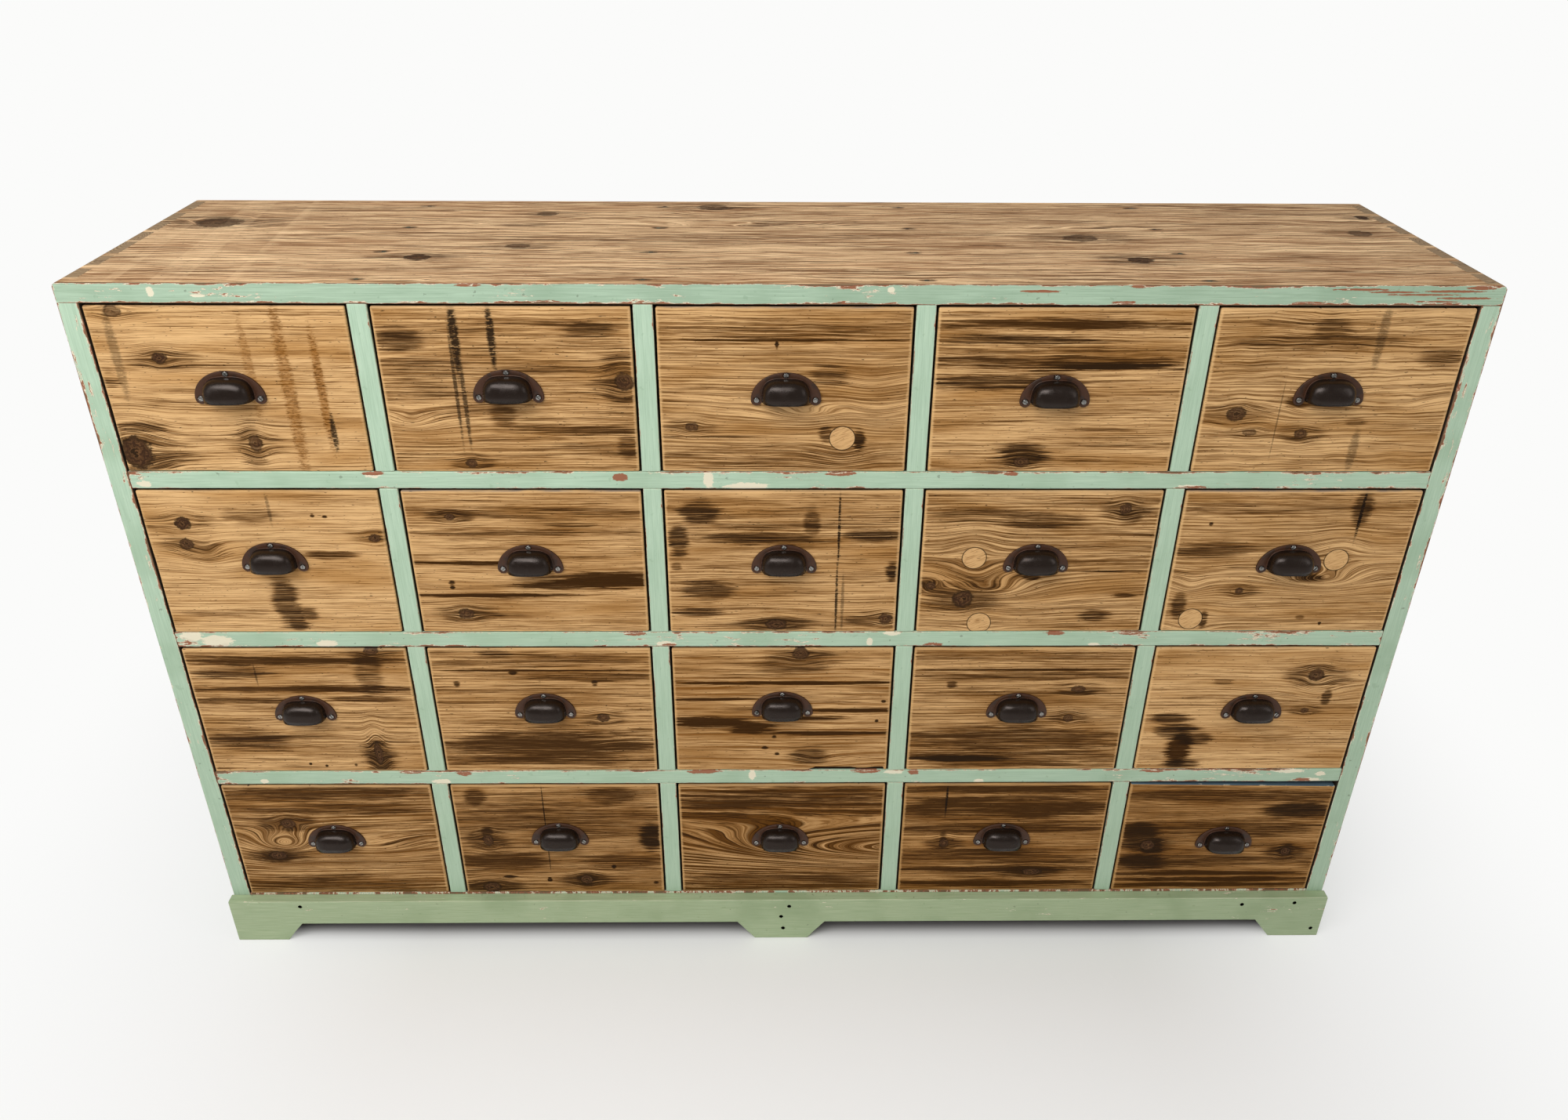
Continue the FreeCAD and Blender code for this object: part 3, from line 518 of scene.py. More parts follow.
FRONTS = boards("""
r1_c1 seed=1 pitch=3.4 wax=.16 lines=.4 rim=.3
knots -115 97 9 6 .7, -75 41 8 6 1, -131 -78 17 19 1, 13 -66 7 10 .8
soot -72 42 36 11 .5, -138 15 10 11 .5, -120 -45 30 7 .65, -112 -80 30 22 .6, 8 -70 16 28 .6
soot 17 -64 5 4 1, -40 -62 40 3 .4
drips -124 45 5 48 .45, 109 -53 3 22 .9
runs 25 30 5 55 .35, 66 0 7 100 .5, 104 5 5 62 .65
r1_c2 deep=.15 seed=2 pitch=4.2 wax=.38
knots 136 13 10 10 .9, -55 -92 6 5 .9
flames -119 -38 30 13 16
soot -121 64 25 14 .55, 130 14 20 32 .5, 101 75 30 7 .6, 135 -70 10 15 .4, -95 25 40 18 .3
toffee -10 -30 14 13 .5, 77 -49 75 6 .5
drips -56 66 5 42 .95, -62 5 2 62 .8, -53 -10 2.4 52 .8, -14 68 4 34 .95
r1_c3 deep=.15 seed=3 bold=.3 pitch=4.6 wax=.24 blue=.5
knots -110 -44 7 5 .8
flames 45 -29 85 13 24, 100 12 40 30 9
plugs 70 -59
soot 52 20 22 13 .5, 50 -54 8 9 .75, 90 -61 7 12 .9, -88 -57 60 .7 .9, -9 58 2 4 1
toffee 0 64 146 1.5 .9, 0 76 146 12 .4, 0 -86 140 16 .35
r1_c4 deep=.1 seed=4 pitch=3 wax=.27
knots -34 -90 9 6 .8
soot -60 65 85 6 .6, -70 12 80 9 .75, -8 18 22 22 .35, -33 -82 28 16 .85, 60 33 85 4 .8
toffee 0 83 146 6 .85, 0 37 146 9 .65, 0 50 140 8 .35
r1_c5 deep=.05 seed=5 bold=.25 pitch=5.2 wax=.18 wobble=16
knots -106 -27 10 8 .9, -23 -53 7 6 .9, -86 -51 8 4 .6
flames 90 -15 60 14 14, -20 -30 90 20 10
soot -30 62 100 8 .5, -14 78 20 14 .45, 120 45 25 10 .5, 40 -37 12 5 .6
toffee 0 87 145 4 .3, -34 -12 14 7 .7
drips 45 75 5 40 .5, 45 -75 5 25 .5, -55 -35 .8 42 .5
r2_c1 seed=6 pitch=4 wax=.08 lines=.5 rim=.3
knots -100 58 9 8 1, -102 29 8 7 .9, 134 37 7 5 .9
flames -78 14 22 18 16
soot -105 56 42 15 .55, -85 20 30 14 .4, -16 70 30 11 .5, 62 69 2.5 2.2 1, 77 67 3 2.2 1
soot 5 -55 15 35 .85, 14 -80 13 22 .85, 30 -75 12 10 .7, -80 -74 60 5 .4, 135 40 12 5 .6
toffee 76 13 34 6 .8
drips 10 78 2 18 .5
r2_c2 deep=.15 seed=7 pitch=4.4 wax=.27 blue=.6
knots -92 67 6 4 .9, -88 -75 9 7 .9
flames -40 -22 110 18 7
soot -101 -28 4 3 1, -101 -35 3 2.5 1, 60 56 35 3 .6
toffee 100 -25 75 11 1, 35 -33 60 5 .9, -70 1 85 2.6 1, -60 -47 100 2.8 1, 0 72 145 9 .4
toffee 0 45 145 4 .5
r2_c3 deep=.15 seed=8 pitch=2.6 wax=.28
knots -9 -92 13 7 1, 134 -83 8 7 .9
soot -105 74 22 16 .65, -132 32 12 20 .85, -30 37 78 8 .75, 113 41 34 8 .85, 36 55 9 22 .5
soot 140 -12 8 13 .95, -97 -40 28 14 .6, -110 -73 30 6 .65, 110 -85 30 7 .5
toffee 0 62 140 13 .35, -136 -4 6 6 .6
drips 70 50 1.5 44 .95, 69 -55 1.5 52 .9, 77 -60 1.8 40 .5
r2_c4 deep=.1 seed=9 bold=.3 pitch=5 wax=.33
knots -90 -53 12 11 1, -133 -33 6 5 .9, 103 78 7 7 .9
flames -72 -42 80 20 44
plugs -80 8, -66 -90
soot 83 -78 20 8 .75, 110 70 15 11 .55, 0 62 50 11 .5, -80 70 60 11 .35, 96 -12 54 1.3 .85
soot -4 -20 10 4 .8, -80 -50 40 22 .35
toffee 120 -48 14 3 .7
r2_c5 deep=.08 seed=10 bold=.2 pitch=4.8 wax=.27 blue=.6
knots -55 -41 5 4 .9
flames 38 -26 60 13 26, -118 -40 26 22 20
plugs 61 5, -111 -84
soot 77 80 11 22 .65, -100 20 50 11 .5, 30 -22 22 5 .6, -130 -65 9 18 .7, -94 -85 5 12 .7
soot 33 -82 6 3 .6, -109 57 2.5 2.2 1, 61 -91 2 2 1
toffee 0 80 140 9 .3
drips 77 71 2 32 1
r3_c1 deep=.15 seed=11 pitch=3.6 wax=.26
knots 101 100 9 6 .9, 85 -72 5 18 .95
soot -90 66 50 9 .65, 93 66 16 35 .5, 84 -75 18 28 .8, -92 -48 52 18 .5, -13 -90 2 2 1
soot 9 -93 2 2 1, 50 -92 2 2 1
toffee 0 84 146 7 .85, 0 38 146 5 .85, -80 20 70 5 .8, 90 22 55 5 .8, 0 -50 140 13 .25
drips -58 62 1.2 15 .6
r3_c2 deep=.28 seed=12 pitch=4.4 wax=.33
knots 78 -11 8 6 .9
flames 45 -57 40 8 9
soot -60 96 22 5 .5, -115 46 4 4 .9, 70 47 4 4 .8, -38 64 5 3 .8
toffee 0 -58 147 24 .8, 0 -85 147 7 .65, 0 68 147 1.6 .95, 70 57 80 7 .55, 0 82 147 11 .35
r3_c3 deep=.32 seed=13 pitch=8.4 wax=.28 lines=1
knots 24 95 10 8 .9
flames 75 -15 95 16 8, 50 -85 35 14 11
soot 15 76 46 15 .5, 37 -78 26 15 .65, -11 -44 3 2.5 1, -7 -74 3 2.2 1, -24 -63 4 2.5 .9
soot 130 -17 2.5 2.5 .9, 138 16 3 2.5 .9
toffee -98 -19 60 9 1, -42 -30 30 10 1, 0 47 160 2.8 1, -100 20 60 2.4 .9, 90 1 70 3.2 1
toffee 60 -38 95 3 1, 30 -12 50 3.5 .9
r3_c4 deep=.3 seed=14 bold=.4 pitch=4 wax=.22
knots 79 36 9 5 .85, 71 -13 6 6 .8
soot -94 44 7 5 .9, -75 -83 60 5 .9
toffee 0 68 147 1.7 .95, 0 58 147 7 .7, 0 -50 147 20 .78, 0 -82 147 16 .7, 0 90 147 8 .4
toffee 0 30 147 3 .55
r3_c5 deep=.1 seed=15 pitch=4.4 wax=.1 lines=.55
knots 76 59 9 9 .9, 73 -1 5 4 .8
flames 95 30 35 16 14
soot 80 58 42 17 .75, -49 48 14 5 .6, -110 -14 26 9 .95, -98 -35 28 13 1, -83 -95 24 9 .85
soot -70 -48 20 12 .8, 98 22 6 12 .7
toffee -90 -68 16 26 .95, -60 20 40 4 .4, 0 10 140 13 .25
r4_c1 deep=.28 seed=16 bold=.4 pitch=6.6 wax=.4 lines=1
knots -66 33 10 8 .9, -92 -28 12 7 .95
flames -80 -6 36 20 52, 60 -16 120 26 30
toffee 0 90 147 13 .65, 0 60 147 10 .55, -92 -30 20 9 .6, 0 -85 147 15 .5
r4_c2 deep=.42 seed=17 pitch=2.8 wax=.5
knots -105 0 7 9 .9, -109 -93 12 9 1, 33 -78 9 8 .9
soot 133 5 15 22 .9, 33 -78 18 14 .7, 75 -53 3 3 1, -80 -72 8 3 .8, -22 -78 3 4 .9
soot 136 -85 4 2.2 .9, -105 5 9 18 .7
toffee -115 82 14 15 .65, 78 84 36 13 .6, -90 -40 60 15 .65, 90 -45 60 13 .6
toffee 0 40 147 28 .35
drips -19 50 .8 52 1, -19 -35 .8 22 .85
r4_c3 deep=.45 seed=18 bold=1 pitch=8.5 wax=.42 lines=1 wobble=6
flames 200 -20 270 36 150
toffee 0 72 147 28 .6, 0 -85 147 18 .55
r4_c4 deep=.75 seed=19 pitch=4 wax=.52
knots -84 -8 6 7 .9, 50 -66 13 6 .9
soot -86 -5 6 14 .8
toffee 0 94 147 8 .75, 0 60 147 20 .7, 0 20 147 9 .55, -40 -25 100 8 .55, 0 -60 147 5 .85
toffee 0 -88 147 6 .85, 0 -40 147 8 .45
drips -86 75 1.5 27 1
r4_c5 deep=.75 seed=20 pitch=4.4 wax=.5 blue=1
knots -106 -14 10 9 1, 101 -27 7 7 1
soot 105 53 48 13 .85, -120 0 26 28 .75, -100 -15 18 18 .9, 101 -25 14 12 .8
soot -115 -45 35 15 .75
toffee 0 80 147 10 .55, 0 -70 147 4 .9, 0 -82 147 4 .9, 0 -93 147 4 .9, 0 20 147 13 .45
toffee 0 -45 147 11 .4
""")
front_low, front_high = extent("drawer_r1_c1")
FRONT_HALF = (front_high.x - front_low.x) / 2
FRONT_HEIGHT = front_high.z - front_low.z
front_pine = {place: waxed_pine(f"front_pine_{place}", FRONTS[place], FRONT_HALF,
                                FRONT_HEIGHT / 2) for place in places}
print("fronts:", len(front_pine))

# %% [markdown]
# ### The wood of the top
#
# The top is one wide, flat board. Nails have rusted black marks into it over each
# partition, and a plane has left long, fine lines.

# %% The top's own list, measured from its middle
PARTITION_STEP = 323
NAIL_X = [(number - 1.5) * PARTITION_STEP for number in range(COLUMNS - 1)]
NAIL_Y = (-179, -65, 49, 163)
TOP_BOARD = boards("""
top seed=31 pitch=8 wax=.46 lines=.9 wobble=26 rim=0 coarse=.5
knots -735 69 26 20 .75, -438 -90 14 11 .95, 428 -95 14 11 .95, 377 5 20 14 .75
knots 747 32 14 12 .7, -96 161 18 14 .7, -327 -40 14 10 .7, -316 122 12 9 .7, 785 114 7 9 1
flames -735 69 60 28 40, -68 58 130 18 34, 364 46 110 18 30, -343 61 60 12 14
flames 760 60 60 20 30
soot -438 -90 36 14 .35, 410 -80 50 16 .35, 785 114 9 10 1
toffee -343 61 30 7 .5, 0 -150 800 20 .2, -300 0 420 22 .2
""")["top"]
TOP_BOARD["soot"] = [
    (nail_x + offset, nail_y + offset * 0.3, 9, 4, 0.95)
    for nail_x in NAIL_X for nail_y, offset in zip(NAIL_Y, (0, -3, 2, -2))
] + TOP_BOARD["soot"]
top_pine = waxed_pine("top_pine_waxed", TOP_BOARD, CASE_HALF, CASE_DEPTH / 2, flat=True)
print("top board:", len(top_pine.node_tree.nodes), "nodes")

# %% [markdown]
# ### Old paint
#
# The case was primed red, undercoated in cream and painted mint green by brush. Paint
# goes first where hands and drawers rub: along every arris. On a box, the distance to
# the nearest arris is the middle one of the three distances to its faces, which works
# for a board of any size.

# %% Distance to the nearest arris, and the layers that flake off
def arris_rule(x, y, z, half_x, half_y, half_z):
    """The middle one of the three distances to a box's faces."""
    first, second, third = half_x - abs(x), half_y - abs(y), half_z - abs(z)
    return (first.low(second).high(first.high(second).low(third)),)


ARRIS = effect("distance_to_arris", "X, Y, Z, Half X, Half Y, Half Z",
               "Distance", arris_rule)


def flake_rule(x, y, z, distance, wear, seed):
    """Where the paint is off down to the undercoat, the primer and the bare wood."""
    slivers = speckle(x, y, z + seed, 5.0, 0.68)
    where = speckle(x * 0.2, y * 0.2, z * 0.2 - seed, 1.0)
    rubbed = distance.fade(5.0, 0.0) * 0.11 + distance.fade(1.3, 0.3) * 0.06
    loss = slivers * 0.6 + where * 0.4 + rubbed * wear + (wear - 1.0) * 0.04
    return loss.fade(0.622, 0.63), loss.fade(0.65, 0.66), loss.fade(0.71, 0.72)


FLAKE = effect("flaking_paint", "X, Y, Z, Arris, Wear, Seed",
               "Undercoat, Primer, Bare", flake_rule)

# %% The painted finishes
MINT, MINT_PALE, MINT_DEEP = paint(170, 195, 170), paint(184, 207, 182), paint(152, 178, 150)
SAGE, SAGE_PALE, SAGE_DEEP = paint(160, 176, 138), paint(178, 190, 152), paint(138, 156, 116)
OLIVE_DARKER = paint(122, 140, 108)
# A darker copy of the mint, as painted shade on the top's front edge.
MINT_PAINTED_SHADE = (paint(158, 182, 157), paint(172, 196, 171), paint(140, 165, 139))
CREAM, RED_PRIMER, GREY_PINE = paint(222, 214, 188), paint(146, 92, 64), paint(112, 88, 62)
GRIME = paint(74, 74, 58)


def painted(name, half, stroke, shades=(MINT, MINT_PALE, MINT_DEEP), wear=1.0, seed=0.0,
            cream=(), red=()):
    """Brushed paint on a board of this half size; stroke 0, 1 or 2 is the brush's axis.

    cream and red are larger places that lost their paint: (x, z, half length, half height).
    """
    material, tree, shader = new_material(name)
    point = millimetres(tree)
    distance = use(ARRIS, tree, *point, *half)
    slim = [part * (0.045 if axis == stroke else 0.2) for axis, part in enumerate(point)]
    lost = use(FLAKE, tree, *slim, distance, wear, seed)
    stretched = [part * (0.02 if axis == stroke else 0.75) for axis, part in enumerate(point)]
    bristles = speckle(*stretched, 4.0, 0.6)
    patches = speckle(*[part * 0.012 + seed for part in point], 3.0)
    dents = speckle(*[part * 0.11 + seed for part in point], 2.0)
    plain, pale, deep = shades
    # The paint turns darker towards the bottom and towards the right of the case, by where each
    # piece stands.
    stands = lay(tree, "ShaderNodeObjectInfo").outputs["Location"]
    right, _, height = (part / MM + own for part, own in zip(split(Wire(tree, stands)), point))
    darker_low_and_right = height.fade(950.0, 150.0) * 0.19 + right.fade(-300.0, 800.0) * 0.07
    colour = coats(mix(bristles.fade(0.45, 0.65) * 0.8, plain, pale),
                   (bristles.fade(0.46, 0.34) * 0.5, deep),
                   (patches.fade(0.45, 0.7) * 0.55, deep),
                   (dents.fade(0.68, 0.74) * 0.6, deep),
                   (darker_low_and_right * (bristles + 0.5), OLIVE_DARKER),
                   (dents.fade(0.27, 0.25) * 0.4, GRIME),
                   (distance.fade(0.9, 0.3) * bristles.fade(0.4, 0.55) * 0.7, CREAM))
    torn = speckle(point[0] * 0.1, seed, point[2] * 0.3, 5.0, 0.75)
    for spots, layer in ((cream, CREAM), (red, RED_PRIMER)):
        chips = darkest([use(STAIN, tree, point[0], point[2], torn, *spot, 1.0)
                         for spot in spots])
        if chips:
            colour = mix(chips.fade(0.62, 0.68), colour, layer)
    colour = coats(colour, *zip(lost, (CREAM, RED_PRIMER, GREY_PINE)))
    shader.inputs["Specular IOR Level"].default_value = 0.4
    thickness = bristles * 0.35 + dents * 0.25 - lost[0] * 0.6 - lost[2] * 0.6
    dress(tree, shader, colour, lost[0].fade(0.0, 1.0, 0.46, 0.75), thickness, 0.35)
    return material


# %% [markdown]
# ### Bare pine and end grain
#
# Inside the case and on its back the pine was never finished. It has gone a dull brown,
# with the same grain. End grain shows the rings as arcs and drinks in more dirt.

# %% Bare pine and end grain
RAW_PALE, RAW_BROWN, RAW_DARK = paint(190, 156, 114), paint(158, 122, 82), paint(96, 70, 46)
END_PALE, END_DARK = paint(168, 140, 104), paint(122, 96, 66)


def bare_pine(name, grain_axis, across_axis, front=None):
    """Unfinished pine whose grain runs along one axis; near black by its front, as painted
    shade.
    """
    material, tree, shader = new_material(name)
    point = millimetres(tree)
    depth_axis = 3 - grain_axis - across_axis
    own = Wire(tree, lay(tree, "ShaderNodeObjectInfo").outputs["Random"])
    wander = speckle(point[grain_axis] * 0.006, point[across_axis] * 0.02, own * 40.0) - 0.5
    rings, fibre, streaks, tone = use(GRAIN, tree, point[grain_axis],
                                      point[across_axis] + wander * 22.0,
                                      point[depth_axis], 5.0, own * 90.0)
    colour = coats(mix(tone.fade(0.3, 0.7), RAW_PALE, RAW_BROWN),
                   (rings * 0.6, RAW_BROWN), (fibre.fade(0.5, 0.8) * 0.5, RAW_DARK),
                   (streaks.fade(0.54, 0.7) * 0.5, RAW_DARK), (own * 0.25, RAW_DARK))
    # Painted shade: within 45 mm of the front the pine turns near black, where the gaps round
    # the drawers lie in shade.
    if front is not None:
        colour = mix((point[1] - front).fade(45.0, 8.0) * 0.92, colour, PAINTED_GAP_SHADE)
    dress(tree, shader, colour, fibre.fade(0.2, 0.8, 0.68, 0.85),
          1.0 - rings * 0.5 - fibre * 0.4, 0.3)
    return material


def end_grain(name):
    """The sawn end of a board: rings as arcs about a heart below the piece."""
    material, tree, shader = new_material(name)
    x, y, z = millimetres(tree)
    heart = x * x * 1.4 + (y * 0.35 + speckle(x * 0.03, y * 0.03, z * 0.03) * 14.0) ** 2.0
    rings = (heart.math("SQRT") / 2.4).math("FRACT")
    pores = speckle(x * 0.8, y * 0.8, z * 0.1, 4.0, 0.7)
    colour = mix(rings.fade(0.3, 0.95), END_PALE, END_DARK)
    colour = mix(pores.fade(0.45, 0.75) * 0.7, colour, END_DARK)
    dress(tree, shader, colour, pores.fade(0.2, 0.8, 0.6, 0.8), 1.0 - pores * 0.6, 0.3)
    return material


# Pine inside the case and on the drawer boxes takes painted shade near the front.
inside_along_x = bare_pine("inside_pine_along_x", 0, 1, FRONT_Y - CASE_MIDDLE)
inside_along_y = bare_pine("inside_pine_along_y", 1, 2, FRONT_Y - CASE_MIDDLE)
inside_upright = bare_pine("inside_pine_upright", 2, 1, FRONT_Y - CASE_MIDDLE)
box_pine = bare_pine("drawer_box_pine", 1, 2, 0.0)
pine_along_x = bare_pine("bare_pine_along_x", 0, 1)
pine_upright = bare_pine("bare_pine_upright", 2, 0)
tail_ends = end_grain("end_grain")
print("wood finishes ready")

# %% [markdown]
# ### Iron, steel and rusted nails
#
# The pulls are sand-cast iron, browned and waxed, so they are dark and satin with a
# little rust where the wax has worn. The screws that hold them are new, bright steel.

# %% Metals
IRON, IRON_BROWN, RUST = paint(37, 26, 19), paint(50, 30, 17), paint(66, 36, 15)
STEEL, STEEL_DULL, NAIL_IRON = paint(150, 148, 144), paint(84, 82, 78), paint(78, 78, 58)


def metal(name, plain, worn, worn_share, metallic, roughness, grit):
    """A metal whose worn colour shows over a share of it, with a gritty surface."""
    material, tree, shader = new_material(name)
    x, y, z = millimetres(tree)
    own = Wire(tree, lay(tree, "ShaderNodeObjectInfo").outputs["Random"]) * 50.0
    patches = speckle(x * 0.09 + own, y * 0.09, z * 0.09, 4.0, 0.6)
    sand = speckle(x * 1.3, y * 1.3 + own, z * 1.3, 3.0, 0.6)
    colour = mix(patches.fade(0.78 - worn_share, 0.9 - worn_share), plain, worn)
    shader.inputs["Metallic"].default_value = metallic
    dress(tree, shader, colour, patches.fade(0.3, 0.7, roughness - 0.08, roughness + 0.12),
          sand * 0.6 + patches * 0.6, grit)
    return material


cup_iron = metal("cast_iron_cup", IRON, IRON_BROWN, 0.12, 0.5, 0.2, 0.2)
plate_iron = metal("cast_iron_plate", IRON_BROWN, RUST, 0.4, 0.2, 0.46, 0.2)
screw_steel = metal("screw_steel", STEEL, STEEL_DULL, 0.2, 1.0, 0.16, 0.02)
nail_iron = metal("nail_iron", NAIL_IRON, RUST, 0.3, 0.4, 0.6, 0.2)
print("metals:", cup_iron.name, plate_iron.name, screw_steel.name, nail_iron.name)

# %% [markdown]
# ## Boards that have been used
#
# A cube has edges that no real board has. An old board's arrises are rounded by hands,
# unevenly, and its faces are a little hollow. So each board is a fine grid over a box:
# grid points near an edge are drawn onto a small arc, whose radius wanders along the
# board, and noise presses the faces in by a fraction of a millimetre.

# %% Make an object out of a mesh in millimetres
def as_mesh(build, name):
    """Ends a bmesh and gives it back as a mesh."""
    mesh = bpy.data.meshes.new(name)
    build.to_mesh(mesh)
    build.free()
    return mesh


def piece(name, builder, middle, materials, body="case", node=(), smooth=True,
          turn=0.0):
    """An object from a bmesh, in place, riding on its body and replacing its nodes."""
    mesh = builder
    if isinstance(builder, bmesh.types.BMesh):
        bmesh.ops.recalc_face_normals(builder, faces=builder.faces)
        bmesh.ops.scale(builder, vec=(MM, MM, MM), verts=builder.verts)
        for face in builder.faces:
            face.smooth = smooth
        mesh = as_mesh(builder, name)
        for material in materials:
            mesh.materials.append(material)
    thing = bpy.data.objects.new(name, mesh)
    thing.location = Vector(middle) * MM
    thing.rotation_euler.y = turn
    bpy.context.scene.collection.objects.link(thing)
    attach(thing, body)
    if node:
        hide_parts(*([node] if isinstance(node, str) else node))
    return thing


# %% A worn board
ARC_STOP = 0.586


def grid_stops(half, radius, cell):
    """Where the grid lines cross one axis: close together in the rounded edges."""
    inner = half - radius
    lead = min(radius * 0.8, inner * 0.5)
    count = max(1, round(2 * (inner - lead) / cell))
    middle = [(lead - inner) + 2 * (inner - lead) * step / count for step in range(count + 1)]
    return [-half, radius * ARC_STOP - half, -inner, *middle, inner,
            half - radius * ARC_STOP, half]


def worn_point(point, half, radius, dent, seed):
    """Draws a point of the box onto its rounded, slightly hollow surface."""
    scale = 0.72 + 0.5 * noise.noise(point * 0.018 + Vector((seed, 0, 0)))
    local = radius * min(1.0, max(0.4, scale))
    away = Vector((0, 0, 0))
    for axis in range(3):
        share = (abs(point[axis]) - (half[axis] - radius)) / radius
        if share > 1e-6:
            away[axis] = math.copysign(share * local, point[axis])
            point[axis] = math.copysign(half[axis] - local, point[axis])
    outward = away.normalized()
    hollow = 0.75 + 0.25 * noise.noise(point * 0.013 + Vector((0, seed, 7)))
    return point + outward * (local - dent * hollow)


def worn_board(size, radius=1.6, cell=30.0, dent=0.25, seed=0.0, into=None, at=(0, 0, 0)):
    """A board as a bmesh about its own middle, or added to another one at a place."""
    half = Vector(size) / 2
    stops = [grid_stops(part, radius, cell) for part in half]
    build = into or bmesh.new()
    grid = {}
    ends = [len(line) - 1 for line in stops]
    for i, x in enumerate(stops[0]):
        for j, y in enumerate(stops[1]):
            for k, z in enumerate(stops[2]):
                if i in (0, ends[0]) or j in (0, ends[1]) or k in (0, ends[2]):
                    spot = worn_point(Vector((x, y, z)), half, radius, dent, seed)
                    grid[i, j, k] = build.verts.new(spot + Vector(at))
    for axis in range(3):
        across, up = [other for other in range(3) if other != axis]
        for end in (0, ends[axis]):
            for a in range(ends[across]):
                for b in range(ends[up]):
                    corners = []
                    for step_a, step_b in ((0, 0), (1, 0), (1, 1), (0, 1)):
                        key = [0, 0, 0]
                        key[axis], key[across], key[up] = end, a + step_a, b + step_b
                        corners.append(grid[tuple(key)])
                    build.faces.new(corners)
    return build


PAINTED_DEPTH = 3.0


def fit_board(name, low, high, materials, node, radius, seed, cell=30.0):
    """A worn board that fills a box; its front takes the second material, if any."""
    size = high - low
    board = worn_board(size, radius, cell, seed=seed)
    for face in board.faces:
        if len(materials) > 1 and face.calc_center_median().y < PAINTED_DEPTH - size.y / 2:
            face.material_index = 1
    piece(name, board, (low + high) / 2, materials, node=node)


# %% [markdown]
# ## The case
#
# Two sides stand under the top and are dovetailed into it from below, three shelves
# and a bottom board run between them, and short partitions divide each row. Only what
# faces the room was painted, so each board has painted faces and bare ones.

# %% Shelves and partitions
PARTITION = SHELF = 23.0
BACK = 12
shelf_half = (INNER_HALF, (BACK_Y - BACK - FRONT_Y) / 2, SHELF / 2)
# Where each shelf lost its paint: (x, z, half length, half height) down to the cream
# undercoat, then down to the red primer.
SHELF_CREAM = [marks(text) for text in (
    "-780 -5 9 4, -500 7 10 4, -92 1 6 12, -45 -8 26 5, 500 -9 15 3",
    "-775 5 15 8, -742 -2 20 9, -600 -6 14 5, -155 -7 13 4, 115 -4 4 6, 145 9 12 3, "
    "413 -9 7 3",
    "-730 -6 6 4, -480 -7 14 4, -42 4 5 9, 280 -8 7 3, 158 8 14 3, 720 8 22 3.5, "
    "750 -8 20 3.5, 766 3 7 4")]
SHELF_RED = [marks(text) for text in (
    "-200 4 9 5, -500 9 14 2.5, 70 9 18 3, 278 9 9 3, 508 -10 18 2.5",
    "-195 9 15 3, -150 -9 9 2.5, 200 -9 13 3, 360 9 14 3, 460 9 18 3",
    "-520 10 16 3, -448 8 11 5, -110 9 24 3, 120 9 20 3, 186 8 7 5, 525 9 16 3, 742 -8 12 3")]
shelf_paint = [painted(f"mint_paint_shelf_{number + 1}", shelf_half, 0, seed=3.0 + number,
                       cream=cream, red=red)
               for number, (cream, red) in enumerate(zip(SHELF_CREAM, SHELF_RED))]
row_low, row_high = extent("partitions_row_1")
partition_half = (PARTITION / 2, *((row_high - row_low) / 2).yz)
partition_paint = painted("mint_paint_partition", partition_half, 2, seed=7.0)
shelves = ("shelf_upper", "shelf_middle", "shelf_lower", "bottom_board")
for node, front, seed in zip(shelves, (*shelf_paint, partition_paint), (1.0, 2.0, 3.0, 40.0)):
    low, high = extent(node)
    low.x, high.x = -INNER_HALF, INNER_HALF
    fit_board(node + "_worn", low, high, (inside_along_x, front), node, 2.0,
              seed)
for row in range(ROWS):
    node = f"partitions_row_{row + 1}"
    low, high = extent(node)
    pitch = (high.x - low.x - PARTITION) / (COLUMNS - 2)
    for number in range(COLUMNS - 1):
        x = low.x + number * pitch
        fit_board(f"partition_r{row + 1}_{number + 1}", Vector((x, *low.yz)),
                  Vector((x + PARTITION, *high.yz)), (inside_along_y, partition_paint),
                  node, 1.8, 10.0 + row * 5 + number)
print("shelves and partitions made")

# %% [markdown]
# ### Boards with a sawn outline
#
# The sides, the top and the plinth are not plain boxes: saw cuts shape their ends. An
# outline drawn in one plane is pushed through the board's thickness. It may change on
# the way, as a dovetail's socket does, and a small bevel softens its edges.

# %% Push an outline through a board
def sawn_board(outline, axis, start, end, other=None, bevel=0.7, into=None):
    """A solid between two outlines, drawn in the plane across the axis."""
    def corner(place, level):
        spot = list(place)
        spot.insert(axis, level)
        return Vector(spot)

    build = bmesh.new()
    first = [build.verts.new(corner(place, start)) for place in outline]
    last = [build.verts.new(corner(place, end)) for place in (other or outline)]
    build.faces.new(first)
    build.faces.new(list(reversed(last)))
    for index in range(len(first)):
        after = (index + 1) % len(first)
        build.faces.new((first[after], first[index], last[index], last[after]))
    bmesh.ops.bevel(build, geom=build.edges, offset=bevel, segments=2, profile=0.6,
                    affect="EDGES", clamp_overlap=True)
    if into is None:
        return build
    mesh = as_mesh(build, "joined")
    into.from_mesh(mesh)
    bpy.data.meshes.remove(mesh)
    return into


# %% The sides and the top, dovetailed by hand
# Where each tail starts and ends, from the front edge back.
TAILS = {
    "left": ((18, 54), (68, 107), (117, 171), (175, 217), (226, 267), (276, 315), (335, 379)),
    "right": ((6, 46), (53, 99), (113, 156), (168, 204), (224, 266), (279, 317), (330, 377)),
}
FLARE, SOCKET, PROUD = 3.4, 21.0, 0.15
HALF_DEPTH = CASE_DEPTH / 2
tail_level = top_low.z
UPPER_RADIUS = 7.0
print("tails:", len(TAILS["left"]), "left,", len(TAILS["right"]), "right")

